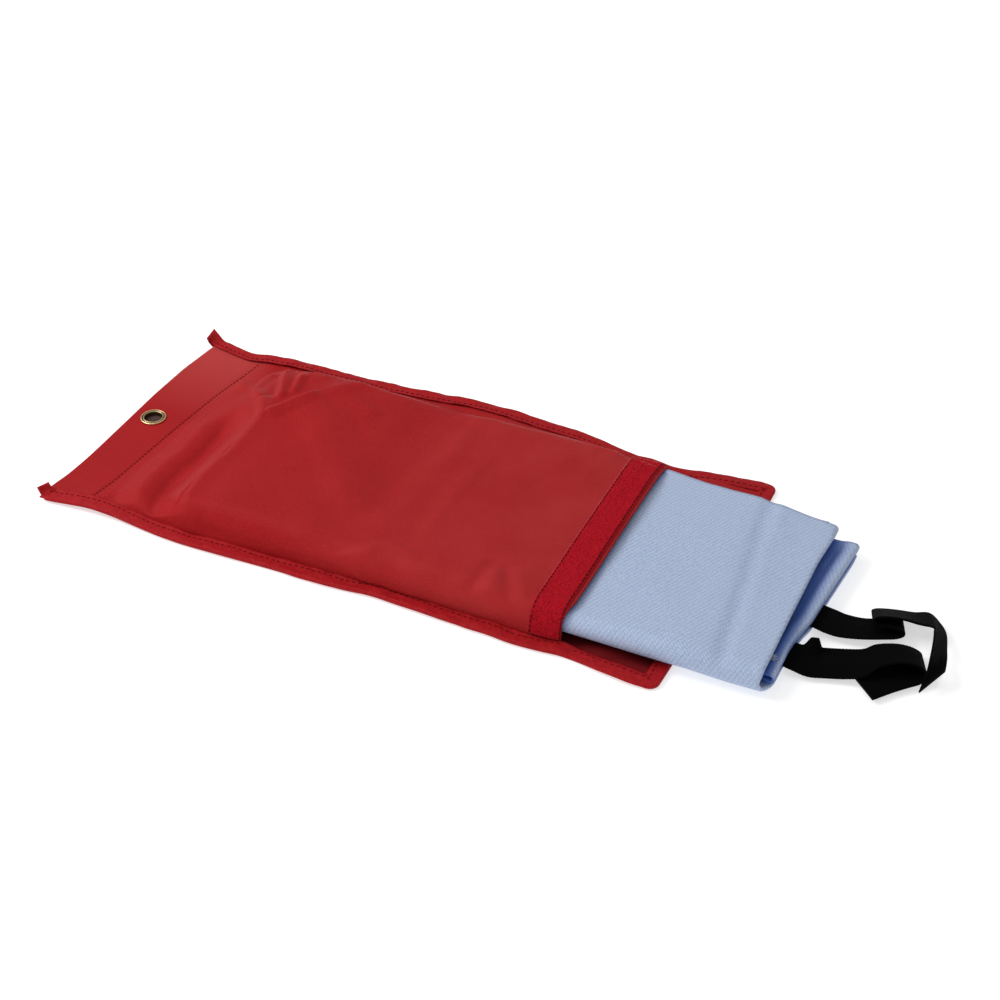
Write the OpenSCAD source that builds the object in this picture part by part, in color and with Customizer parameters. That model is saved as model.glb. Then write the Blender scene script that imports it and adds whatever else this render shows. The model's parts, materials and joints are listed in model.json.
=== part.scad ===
// Soft-pack fire blanket: a folded glass-cloth blanket in a red nylon pouch with a folding flap,
// a hanging eyelet and two webbing pull straps. The pouch lies on its back.
// Millimetres. +X runs from the eyelet to the mouth, +Y across the pouch, +Z up through its thickness.
// The origin is on the eyelet's axis, in the plane that the pouch rests on.

/* [Pouch] */
// Width over the edge bindings
pouch_w = 190; // [186:1:200]
// Distance from the eyelet to the mouth edge of the front panel
mouth_x = 317; // [312:1:330]
// Distance from the eyelet to the top hem
eyelet_inset = 13; // [12:1:18]
// Distance from the eyelet to the header seam
header_seam_x = 22; // [18:1:28]
// Length of the flap beyond its fold
flap_len = 56; // [54:1:64]
// Corner radius of the flap
flap_r = 12; // [10.5:0.5:16]
// Thickness of the nylon cloth
cloth = 0.5; // [0.4:0.05:0.5]

/* [Trim] */
// Width of the binding tape once folded over an edge
binding_w = 9; // [7:0.5:9.5]
// Length of the binding tails beyond the top hem
tail_len = 12; // [6:1:20]
// Width of the hook tape and of the loop tape
tape_w = 20; // [16:1:20]
// Length of the hook tape
hook_len = 110; // [60:5:160]
// Width of the front panel's hem outside the loop tape
mouth_hem = 2; // [1.5:0.5:6]
// Thickness of the hook tape and of the loop tape
tape_t = 1.2; // [1:0.1:1.4]
// Inner radius of the eyelet
eyelet_r = 5.5; // [4:0.5:5.5]
// Outer radius of the eyelet's flange
eyelet_flange_r = 8; // [8:0.5:10]

/* [Blanket] */
// Length of the folded blanket
fold_len = 245; // [200:1:245]
// Width of the folded blanket
fold_w = 146; // [120:1:146]
// Thickness of one folded leaf
leaf_t = 2; // [1.8:0.05:2.1]
// How far the blanket's end stands out of the pouch at rest
pulled_out = 118; // [60:1:122]

/* [Straps] */
// Width of the webbing
strap_w = 20; // [15:1:22]
// Thickness of the webbing
strap_t = 1.3; // [1:0.1:1.3]
// Length of webbing sewn between the blanket's leaves
strap_root_len = 40; // [20:1:60]

/* [Hidden] */
$fn = 48;

pouch_red = [0.65, 0.13, 0.14];
trim_red = [0.68, 0.06, 0.09];
tape_red = [0.72, 0.07, 0.12];
thread_red = [0.42, 0.04, 0.06];
brass = [0.72, 0.58, 0.33];
glass_blue = [0.66, 0.74, 0.88];
thread_white = [0.85, 0.86, 0.88];
webbing_black = [0.03, 0.03, 0.03];

// Cloth levels, from the resting plane upwards
bind_t = 0.3;                              // one layer of binding tape
edge_z = bind_t + 0.05;                    // the back panel's edge, inside the binding
header_z = 0.6;                            // the back panel's header, above the eyelet's washer
flange_z = 1.2;                            // the front panel's seam allowance
flange_top = flange_z + cloth;
bind_top_z = flange_top + 0.2;             // underside of the binding's upper layer
bind_h = bind_top_z + bind_t;
thread_t = 0.25;
thread_w = 0.6;
lip_t = 0.25;                              // turned lip at the foot of the eyelet

// Pouch plan
hem_x = -eyelet_inset;
half_w = pouch_w / 2;
panel_half_w = half_w - bind_t - 0.1;
field_half_w = half_w - binding_w - 0.1;   // the part of the back panel between its bindings
foot_half_w = half_w - binding_w;          // where the front panel leaves the seam
stitch_inset = binding_w - 2;              // binding seam, measured from the pouch's edge
crown_x = header_seam_x + 50;              // where the front panel reaches its full height
fold_x = mouth_x + 1;                      // fold line of the flap
fold_gap = 0.5;
flap_end_x = fold_x + flap_len;
hook_x = flap_end_x - binding_w - 3 - tape_w;
tape_seam = 1;                             // tape seams, measured from the tape's edges

// Blanket
leaf_gap = 0.35;
strap_gap = strap_t + 0.6;                 // space between the lowest two leaves, for the webbing
blanket_z = bind_h + 0.8;
end_x = mouth_x + pulled_out;              // free end of the inner leaves
outer_end_x = end_x - 13;                  // free end of the top leaf
lower_end_x = end_x - 7;                   // free end of the bottom leaf
start_x = end_x - fold_len;
fold_y0 = -foot_half_w + 3;                // fold that the outer leaf makes on the near side
fold_y1 = fold_y0 + fold_w;
inner_y0 = fold_y0 + 10;                   // near folds of the inner leaves
function leaf_z(i) = blanket_z + i * (leaf_t + leaf_gap) + (i > 0 ? strap_gap - leaf_gap : 0);
stack_top = leaf_z(5) + leaf_t;
stack_r = (stack_top - blanket_z) / 2;
stack_mid_z = blanket_z + stack_r;
stack_mid_y = fold_y0 + stack_r;

// Front panel's cross-section: near wall, top and far slope
panel_slack = 0.8;                         // room between the blanket and the front panel
crown_r = stack_r + panel_slack + cloth;
crown = concat(
    [[-foot_half_w, flange_z]],
    [for (a = [180:-15:90]) [stack_mid_y + crown_r * cos(a), stack_mid_z + crown_r * sin(a)]],
    [[fold_y1 + 1, stack_mid_z + crown_r], [fold_y1 + 7, stack_mid_z + crown_r - 4], [foot_half_w, flange_z]]
);
// A cross-section grown outwards and upwards by d, or shrunk if d is negative
function grown(points, d) = [for (p = points) [p[0] + d * sign(p[0]), p[1] + d]];

// Straps
strap_hinge_x = end_x + 1;
strap_mid_z = leaf_z(0) + leaf_t + strap_gap / 2;
strap_low_z = bind_h + thread_t + 0.5 + strap_t / 2;
near_strap_y = -44;
far_strap_y = -8;

// ---- shared shapes ----

// Box between two corners
module block(low, high) {
    translate(low) cube(high - low);
}

// Cross-section in Y and Z, swept from x0 to x1
module swept(points, x0, x1) {
    translate([x0, 0, 0]) rotate([90, 0, 90]) linear_extrude(x1 - x0) polygon(points);
}

// Flap outline, drawn in by inset
module flap_outline(inset) {
    x0 = fold_x + fold_gap;
    x1 = flap_end_x - inset;
    w = half_w - inset;
    r = flap_r - inset;
    translate([x0, -w]) square([x1 - r - x0, 2 * w]);
    translate([x0, r - w]) square([x1 - x0, 2 * (w - r)]);
    for (s = [-1, 1]) translate([x1 - r, s * (w - r)]) circle(r);
}

module flap_layer(inset, z0, z1) {
    translate([0, 0, z0]) linear_extrude(z1 - z0) flap_outline(inset);
}

// Rectangular run of thread around a patch of cloth, lying on height z
module thread_loop(x0, x1, y0, y1, z) {
    difference() {
        block([x0, y0, z], [x1, y1, z + thread_t]);
        block([x0 + thread_w, y0 + thread_w, z - 1], [x1 - thread_w, y1 - thread_w, z + 1]);
    }
}

// Ribbon along a path in X and Z, centred on y
module ribbon(path, y) {
    translate([0, y + strap_w / 2, 0]) rotate([90, 0, 0]) linear_extrude(strap_w) stroke(path);
}

// Sideways step from point i of a path to the ribbon's surface, for a half thickness of 1
function mitre(path, i) = let (
    before = path[max(i, 1)] - path[max(i, 1) - 1],
    after = path[min(i, len(path) - 2) + 1] - path[min(i, len(path) - 2)],
    along = before / norm(before) + after / norm(after),
    dir = along / norm(along)
) [-dir[1], dir[0]] / (dir * before / norm(before));

// Plane path drawn with the webbing's thickness
module stroke(path) {
    last = len(path) - 1;
    polygon(concat(
        [for (i = [0:last]) path[i] + mitre(path, i) * strap_t / 2],
        [for (i = [last:-1:0]) path[i] - mitre(path, i) * strap_t / 2]
    ));
}

// ---- pouch ----

module back_panel() {
    color(pouch_red) difference() {
        union() {
            swept([
                [-panel_half_w, edge_z], [-field_half_w, edge_z], [-field_half_w, 0],
                [field_half_w, 0], [field_half_w, edge_z], [panel_half_w, edge_z],
                [panel_half_w, edge_z + cloth], [field_half_w - cloth, edge_z + cloth],
                [field_half_w - cloth, cloth], [cloth - field_half_w, cloth],
                [cloth - field_half_w, edge_z + cloth], [-panel_half_w, edge_z + cloth]
            ], header_seam_x, fold_x - fold_gap);
            block([hem_x, -panel_half_w, header_z], [header_seam_x + cloth, panel_half_w, header_z + cloth]);
            block([header_seam_x, -field_half_w, 0],
                  [header_seam_x + cloth, field_half_w, header_z + cloth]);
        }
        cylinder(r = eyelet_r + 1, h = 10, center = true);
    }
}

module front_panel() {
    seam_half_w = foot_half_w - 0.4;
    color(pouch_red) {
        difference() {
            block([hem_x, -panel_half_w, flange_z], [mouth_x, panel_half_w, flange_top]);
            block([header_seam_x + cloth, -seam_half_w, 0], [mouth_x + 1, seam_half_w, 5]);
            cylinder(r = eyelet_r + 1, h = 10, center = true);
        }
        difference() {
            swept(crown, crown_x, mouth_x);
            swept(grown(crown, -cloth), crown_x - 1, mouth_x + 1);
        }
        difference() {
            crown_slope(crown, 0);
            crown_slope(grown(crown, -cloth), cloth);
        }
    }
}

// Rise of the front panel from the header seam to its full height
module crown_slope(section, inset) {
    w = foot_half_w - inset;
    hull() {
        block([header_seam_x + inset, -w, flange_z - inset], [header_seam_x + inset + 0.1, w, flange_top - inset]);
        swept(section, crown_x - 0.1, crown_x + inset / 10);
    }
}

// Binding tape folded over a long edge; side is -1 for the near edge and 1 for the far edge
module binding(side) {
    x0 = hem_x - tail_len;
    x1 = fold_x - fold_gap;
    y_out = side * half_w;
    y_in = side * (half_w - binding_w);
    y_wall = side * (half_w - bind_t);
    color(trim_red) difference() {
        block([x0, min(y_out, y_in), 0], [x1, max(y_out, y_in), bind_h]);
        block([x0 - 1, min(y_wall, y_in - side), bind_t], [x1 + 1, max(y_wall, y_in - side), bind_top_z]);
    }
}

module near_binding() { binding(-1); }
module far_binding() { binding(1); }

module binding_stitching(side) {
    y = side * (half_w - stitch_inset);
    color(thread_red)
        block([hem_x + 2, y - thread_w / 2, bind_h], [fold_x - 2, y + thread_w / 2, bind_h + thread_t]);
}

module near_binding_stitching() { binding_stitching(-1); }
module far_binding_stitching() { binding_stitching(1); }

// Eyelet: the barrel and its grooved top flange, with a lip turned out under the washer
module eyelet_barrel() {
    wall = 0.7;
    roll_d = 1;
    plate_z = flange_top + 0.1;
    roll_z = plate_z + roll_d / 2;
    color(brass) rotate_extrude($fn = 96) {
        translate([eyelet_r, 0]) square([wall, roll_z]);
        translate([eyelet_r, 0]) square([2, lip_t]);
        translate([eyelet_r, plate_z]) square([eyelet_flange_r - roll_d / 2 - eyelet_r, 0.4]);
        translate([eyelet_flange_r - roll_d / 2, roll_z]) circle(d = roll_d);
        translate([eyelet_r + roll_d / 2 + 0.05, roll_z]) circle(d = roll_d);
    }
}

module eyelet_washer() {
    color(brass) translate([0, 0, lip_t + 0.02]) difference() {
        cylinder(r = eyelet_flange_r, h = header_z - lip_t - 0.04, $fn = 96);
        translate([0, 0, -1]) cylinder(r = eyelet_r + 0.75, h = 3, $fn = 96);
    }
}

module loop_tape() {
    x1 = mouth_x - mouth_hem;
    color(tape_red) difference() {
        swept(grown(crown, tape_t), x1 - tape_w, x1);
        swept(crown, x1 - tape_w - 1, x1 + 1);
        block([0, -half_w, -1], [mouth_x, half_w, bind_h + 1]);
    }
}

module loop_tape_stitching() {
    x1 = mouth_x - mouth_hem;
    color(thread_red) for (x = [x1 - tape_w + tape_seam, x1 - tape_seam - thread_w]) difference() {
        swept(grown(crown, tape_t + thread_t), x, x + thread_w);
        swept(grown(crown, tape_t), x - 1, x + 1 + thread_w);
        block([0, -half_w, -1], [mouth_x, half_w, bind_h + 1.5]);
    }
}

module header_stitching() {
    w = foot_half_w - 1;
    color(thread_red)
        block([header_seam_x - 1 - thread_w, -w, flange_top], [header_seam_x - 1, w, flange_top + thread_t]);
}

// ---- flap ----

module closing_flap() {
    field = binding_w + 0.1;
    color(pouch_red) difference() {
        union() {
            flap_layer(bind_t + 0.1, edge_z, edge_z + cloth);
            flap_layer(field, 0, edge_z + cloth);
        }
        flap_layer(field + cloth, cloth, 5);
    }
}

// Space inside an inset of the flap, open towards the fold
module flap_inside(inset) {
    flap_layer(inset, -1, 5);
    translate([-1, 0, 0]) flap_layer(inset, -1, 5);
}

module flap_binding() {
    color(trim_red) difference() {
        flap_layer(0, 0, bind_h);
        flap_layer(bind_t, bind_t, bind_top_z);
        flap_inside(binding_w);
    }
}

module flap_binding_stitching() {
    color(thread_red) difference() {
        flap_layer(stitch_inset - thread_w / 2, bind_h, bind_h + thread_t);
        flap_inside(stitch_inset + thread_w / 2);
    }
}

module hook_tape() {
    color(tape_red)
        block([hook_x, -hook_len / 2, cloth], [hook_x + tape_w, hook_len / 2, cloth + tape_t]);
}

module hook_tape_stitching() {
    y = hook_len / 2 - tape_seam;
    color(thread_red)
        thread_loop(hook_x + tape_seam, hook_x + tape_w - tape_seam, -y, y, cloth + tape_t);
}

// ---- blanket ----

// One flat leaf of the stack
module leaf(i, y0, y1, x1) {
    block([start_x, y0, leaf_z(i)], [x1, y1, leaf_z(i) + leaf_t]);
}

// Fold that joins leaf i to leaf j at y, bulging towards side
module leaf_fold(i, j, y, side, x1) {
    r = (leaf_z(j) + leaf_t - leaf_z(i)) / 2;
    translate([start_x, y, leaf_z(i) + r]) rotate([90, 0, 90]) difference() {
        cylinder(r = r, h = x1 - start_x);
        translate([0, 0, -1]) cylinder(r = r - leaf_t, h = x1 - start_x + 2);
        translate([side > 0 ? -2 * r : 0, -2 * r, -1]) cube([2 * r, 4 * r, x1 - start_x + 2]);
    }
}

// The cloth as one folded strip: the outer leaf wraps the near side, the inner leaves zigzag inside it
module blanket_cloth() {
    far_y = fold_y1 - (leaf_z(1) + leaf_t - leaf_z(0)) / 2;
    inner_r = (leaf_z(2) + leaf_t - leaf_z(1)) / 2;
    near_y = inner_y0 + inner_r;
    color(glass_blue) {
        leaf(5, stack_mid_y, fold_y1, outer_end_x);
        leaf_fold(0, 5, stack_mid_y, -1, outer_end_x);
        leaf(0, stack_mid_y, far_y, lower_end_x);
        leaf_fold(0, 1, far_y, 1, lower_end_x);
        leaf(1, near_y, far_y, end_x);
        leaf_fold(1, 2, near_y, -1, end_x);
        leaf(2, near_y, far_y, end_x);
        leaf_fold(2, 3, far_y, 1, end_x);
        leaf(3, near_y, far_y, end_x);
        leaf_fold(3, 4, near_y, -1, end_x);
        leaf(4, near_y, far_y, end_x);
    }
}

// Hem seam across the topmost inner leaf, under the outer leaf
module blanket_hem_stitching() {
    x = outer_end_x - 12;
    z = leaf_z(4) + leaf_t;
    color(thread_white) block([x, inner_y0 + 4, z], [x + thread_w, fold_y1 - 8, z + thread_t]);
}

module strap_root(y) {
    z = strap_mid_z - strap_t / 2;
    color(webbing_black)
        block([end_x - strap_root_len, y - strap_w / 2, z], [end_x, y + strap_w / 2, z + strap_t]);
}

module near_strap_root() { strap_root(near_strap_y); }
module far_strap_root() { strap_root(far_strap_y); }

// Box seam that holds a strap's root to the leaf below it
module root_stitching(y) {
    x0 = end_x - strap_root_len + 2;
    w = strap_w / 2 - 3;
    color(webbing_black) thread_loop(x0, x0 + 24, y - w, y + w, strap_mid_z + strap_t / 2);
}

module near_root_stitching() { root_stitching(near_strap_y); }
module far_root_stitching() { root_stitching(far_strap_y); }

// ---- straps ----

// The near strap runs out, rises into a crest and tucks its end back under itself
module near_pull_strap() {
    x = strap_hinge_x;
    crest_z = strap_low_z + 7;
    crest_x = x + 44;
    turn_r = 3.2;
    color(webbing_black) ribbon(concat(
        [[x + 0.4, strap_mid_z], [x + 9, strap_mid_z], [x + 18, strap_low_z], [x + 30, strap_low_z]],
        [[x + 38, crest_z - 1.5], [crest_x, crest_z], [x + 50, crest_z - 0.6]],
        [for (a = [60:-30:-90]) [x + 52 + turn_r * cos(a), strap_low_z + turn_r * (1 + sin(a))]],
        [[crest_x, strap_low_z]]
    ), near_strap_y + 4);
}

// The far strap runs out flat, then turns on edge and curves round in front of the near strap
module far_pull_strap() {
    x = strap_hinge_x;
    bend_r = 14;
    bend = [x + 51, far_strap_y + 12];
    color(webbing_black) {
        ribbon([[x + 0.4, strap_mid_z], [x + 9, strap_mid_z], [x + 18, strap_low_z], [x + 34, strap_low_z]], far_strap_y);
        translate([0, 0, strap_low_z - strap_t / 2]) linear_extrude(strap_w * 0.75) stroke(concat(
            [[x + 24, far_strap_y], [x + 40, far_strap_y + 14]],
            [for (a = [120:-24:0]) bend + bend_r * [cos(a), sin(a)]],
            [[x + 65, far_strap_y - 8], [x + 61.5, far_strap_y - 32]]
        ));
    }
}

back_panel();
front_panel();
near_binding();
far_binding();
eyelet_barrel();
eyelet_washer();
loop_tape();
header_stitching();
loop_tape_stitching();
near_binding_stitching();
far_binding_stitching();
closing_flap();
flap_binding();
hook_tape();
flap_binding_stitching();
hook_tape_stitching();
blanket_cloth();
blanket_hem_stitching();
near_strap_root();
far_strap_root();
near_root_stitching();
far_root_stitching();
near_pull_strap();
far_pull_strap();
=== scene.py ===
"""Looks of a soft-pack fire blanket: folded glass cloth half drawn from a red nylon pouch.

Lengths are in millimetres until a mesh is made, in the CAD's frame: +X runs from the eyelet to the
mouth, +Y across the pouch and +Z up. Cloth is built as grids of points (rows along X, columns across),
so that seams, tapes and stitches can be laid on it.
"""

import json
import math

import bpy
import numpy as np
from mathutils import Euler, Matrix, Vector

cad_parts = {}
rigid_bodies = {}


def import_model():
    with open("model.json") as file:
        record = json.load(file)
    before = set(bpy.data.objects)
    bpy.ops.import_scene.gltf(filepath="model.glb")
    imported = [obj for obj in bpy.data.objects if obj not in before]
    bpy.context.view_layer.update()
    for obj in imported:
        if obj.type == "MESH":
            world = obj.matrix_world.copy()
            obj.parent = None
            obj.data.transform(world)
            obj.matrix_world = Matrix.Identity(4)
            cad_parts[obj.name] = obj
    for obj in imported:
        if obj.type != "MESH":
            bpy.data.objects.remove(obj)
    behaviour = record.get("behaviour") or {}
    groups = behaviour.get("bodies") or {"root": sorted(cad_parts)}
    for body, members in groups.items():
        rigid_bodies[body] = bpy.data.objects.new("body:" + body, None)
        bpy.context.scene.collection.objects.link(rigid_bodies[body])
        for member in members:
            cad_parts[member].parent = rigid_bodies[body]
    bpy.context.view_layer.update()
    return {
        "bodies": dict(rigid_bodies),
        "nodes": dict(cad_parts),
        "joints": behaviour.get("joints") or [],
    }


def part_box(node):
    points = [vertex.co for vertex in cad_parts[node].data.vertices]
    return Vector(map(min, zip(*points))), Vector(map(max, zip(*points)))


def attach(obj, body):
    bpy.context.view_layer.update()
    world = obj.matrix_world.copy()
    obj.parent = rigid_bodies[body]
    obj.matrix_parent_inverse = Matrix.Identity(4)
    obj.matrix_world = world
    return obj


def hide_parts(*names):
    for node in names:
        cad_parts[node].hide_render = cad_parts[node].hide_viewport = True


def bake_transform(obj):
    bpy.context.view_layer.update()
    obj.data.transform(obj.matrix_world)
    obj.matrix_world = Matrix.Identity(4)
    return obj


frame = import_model()

MM = 0.001
UP = np.array([0, 0, 1.0])


def box_mm(node):
    """Lowest and highest corner of a CAD node, in millimetres."""
    low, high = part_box(node)
    return np.array(low) / MM, np.array(high) / MM


def joint_mm(name, key="pos_m"):
    """Place of a joint's axis in millimetres, or with the key range_m its least and most travel."""
    joint = next(j for j in frame["joints"] if j["name"] == name)
    return np.array(joint[key]) / MM


# ---- sizes taken from the frame ----

BIND_LOW, BIND_HIGH = box_mm("near_binding")
TAPE_LOW, TAPE_HIGH = box_mm("loop_tape")
HOOK_LOW, HOOK_HIGH = box_mm("hook_tape")
CLOTH_LOW, CLOTH_HIGH = box_mm("blanket_cloth")
ROOT_LOW, ROOT_HIGH = box_mm("near_strap_root")
HEM_X = box_mm("back_panel")[0][0]
SEAM_X = box_mm("header_stitching")[1][0]
MOUTH_X = box_mm("front_panel")[1][0]
FLAP_END = box_mm("flap_binding")[1][0]
FOLD_X = joint_mm("flap_hinge")[0]
STOWED_X = CLOTH_LOW[0] + joint_mm("blanket_slide", "range_m")[0]
FLANGE_R = box_mm("eyelet_barrel")[1][0]
TAIL = HEM_X - BIND_LOW[0]
HALF_W = -BIND_LOW[1]
BIND_W = BIND_HIGH[1] - BIND_LOW[1]
FOOT = HALF_W - BIND_W
PILE_T = HOOK_HIGH[2] - HOOK_LOW[2]
STACK_LOW = CLOTH_LOW[2]
STACK_TOP = CLOTH_HIGH[2]
STACK_R = (STACK_TOP - STACK_LOW) / 2
STACK_W = CLOTH_HIGH[1] - CLOTH_LOW[1]
STACK_END = CLOTH_HIGH[0]
STRAP_W, STRAP_T = (ROOT_HIGH - ROOT_LOW)[1:]
STRAP_X, NEAR_STRAP_Y, STRAP_Z = joint_mm("near_strap_swing")
FAR_STRAP_Y = joint_mm("far_strap_swing")[1]

# ---- sizes chosen for the looks ----

# X where the front panel's slope reaches full height, and where the blanket's top leaf ends
CROWN_X = SEAM_X + 51
TOP_END = STACK_END - 13

# Radius of the hole cut in the cloth for the eyelet, and of the flap's corners
HOLE_R = 6.8
CORNER_R = 6

# Thickness of the pouch's cloth and of the blanket's leaves
NYLON = 0.5
PLY = 1.1

# Mid-height of each sewn layer above the floor
FIELD_Z = 0.35
BACK_Z = 0.85
FLANGE_Z = 1.5
BIND_LOW_Z = 0.3
BIND_TOP_Z = 2.2


# ---- small maths ----


def smooth(t):
    """Eased step from 0 to 1."""
    t = np.clip(t, 0, 1)
    return t * t * (3 - 2 * t)


def ramp(x, start, end):
    """Eased step as x goes from start to end."""
    return smooth((np.asarray(x, float) - start) / (end - start))


def bump(x, middle, width):
    """Soft hill of height 1, width wide on each side of middle."""
    return 1 - smooth(np.abs(np.asarray(x, float) - middle) / width)


def along(points, x, ease=5.0):
    """Straight runs through (x, y) points with their corners eased, at x."""
    xs, ys = np.array(points, float).T
    x = np.asarray(x, float)
    return np.mean([np.interp(x + ease * d, xs, ys) for d in (-1, -0.5, 0, 0.5, 1)], axis=0)


def soft_noise(x, y, cell, seed):
    """Smooth noise between -1 and 1 over a plane, with features about one cell across."""
    size = 64
    lattice = np.random.RandomState(seed).uniform(-1, 1, (size, size))
    u, v = np.broadcast_arrays(np.asarray(x, float) / cell, np.asarray(y, float) / cell)
    i, j = np.floor(u).astype(int), np.floor(v).astype(int)
    fu, fv = smooth(u - i), smooth(v - j)
    near = lattice[i % size, j % size] * (1 - fu) + lattice[(i + 1) % size, j % size] * fu
    far = lattice[i % size, (j + 1) % size] * (1 - fu) + lattice[(i + 1) % size, (j + 1) % size] * fu
    return near * (1 - fv) + far * fv


def run_of(points):
    """Distance along a path at each of its points."""
    return np.concatenate([[0], np.cumsum(np.linalg.norm(np.diff(points, axis=0), axis=1))])


def resample(points, count):
    """The same path with count evenly spaced points."""
    points = np.array(points, float)
    run = run_of(points)
    at = np.linspace(0, run[-1], count)
    return np.stack([np.interp(at, run, points[:, k]) for k in range(points.shape[1])], axis=1)


def rounded(points, steps=12):
    """Catmull-Rom curve through the points."""
    p = np.array(points, float)
    p = np.vstack([2 * p[0] - p[1], p, 2 * p[-1] - p[-2]])
    t = np.linspace(0, 1, steps, endpoint=False)[:, None]
    parts = []
    for a, b, c, d in zip(p[:-3], p[1:-2], p[2:-1], p[3:]):
        parts.append(0.5 * (2 * b + (c - a) * t + (2 * a - 5 * b + 4 * c - d) * t**2
                            + (3 * b - a - 3 * c + d) * t**3))
    return np.vstack(parts + [p[-2:-1]])


def arc(centre, radius, start, end, count):
    """Points on an arc, with angles in degrees."""
    a = np.radians(np.linspace(start, end, count))
    return np.stack([centre[0] + radius * np.cos(a), centre[1] + radius * np.sin(a)], axis=1)


def crossed(first, second):
    """Two grids that hold every pairing of a first value (rows) with a second value (columns)."""
    return np.meshgrid(first, second, indexing="ij")


def unit(v):
    """Vectors of length 1 that point the same way."""
    return v / np.maximum(np.linalg.norm(v, axis=-1, keepdims=True), 1e-9)


def grid_normals(grid):
    """Normals of a grid of points; they face up where rows run along +X and columns along +Y."""
    return unit(np.cross(np.gradient(grid, axis=0), np.gradient(grid, axis=1)))


def sample(grid, rows, columns):
    """Points of the grid at fractional rows and columns."""
    r, c = np.broadcast_arrays(np.asarray(rows, float), np.asarray(columns, float))
    i = np.clip(np.floor(r).astype(int), 0, grid.shape[0] - 2)
    j = np.clip(np.floor(c).astype(int), 0, grid.shape[1] - 2)
    fr, fc = (r - i)[..., None], (c - j)[..., None]
    return ((grid[i, j] * (1 - fr) + grid[i + 1, j] * fr) * (1 - fc)
            + (grid[i, j + 1] * (1 - fr) + grid[i + 1, j + 1] * fr) * fc)


# ---- meshes ----


def mesh_object(name, points, faces, material, uvs=None):
    """Smooth-shaded mesh from points in millimetres, with one UV per point, also in millimetres."""
    mesh = bpy.data.meshes.new(name)
    mesh.from_pydata((np.asarray(points) * MM).tolist(), [], faces)
    if uvs is not None:
        layer = mesh.uv_layers.new(name="cloth")
        corners = np.zeros(len(mesh.loops), np.int32)
        mesh.loops.foreach_get("vertex_index", corners)
        layer.data.foreach_set("uv", np.asarray(uvs, np.float32)[corners].ravel())
    mesh.polygons.foreach_set("use_smooth", [True] * len(mesh.polygons))
    mesh.materials.append(MATERIALS[material])
    mesh.validate()
    obj = bpy.data.objects.new(name, mesh)
    bpy.context.scene.collection.objects.link(obj)
    return obj


def grid_faces(rows, columns, around=False, keep=None):
    """Quads of a grid of points, or those marked in keep; around joins the last column to the first."""
    faces = []
    for i in range(rows - 1):
        for j in range(columns if around else columns - 1):
            k = (j + 1) % columns
            if keep is None or keep[i, j]:
                here, beyond = i * columns, (i + 1) * columns
                faces.append((here + j, beyond + j, beyond + k, here + k))
    return faces


def grid_uv(grid):
    """UVs that follow the cloth: distance along the rows and along the columns."""
    down_rows = np.linalg.norm(np.diff(grid, axis=0), axis=2).mean(1)
    over_columns = np.linalg.norm(np.diff(grid, axis=1), axis=2).mean(0)
    u = np.concatenate([[0], np.cumsum(down_rows)])
    v = np.concatenate([[0], np.cumsum(over_columns)])
    return np.stack(crossed(u, v), axis=2).reshape(-1, 2)


def thicken(obj, thick):
    """Gives a sheet its thickness by a solidify modifier."""
    solid = obj.modifiers.new("thickness", "SOLIDIFY")
    solid.thickness = thick * MM
    solid.offset = 0
    return obj


def sheet(name, grid, material, thick):
    """Sheet of cloth through a grid of points."""
    faces = grid_faces(*grid.shape[:2])
    return thicken(mesh_object(name, grid.reshape(-1, 3), faces, material, grid_uv(grid)), thick)


# ---- materials ----


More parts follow.
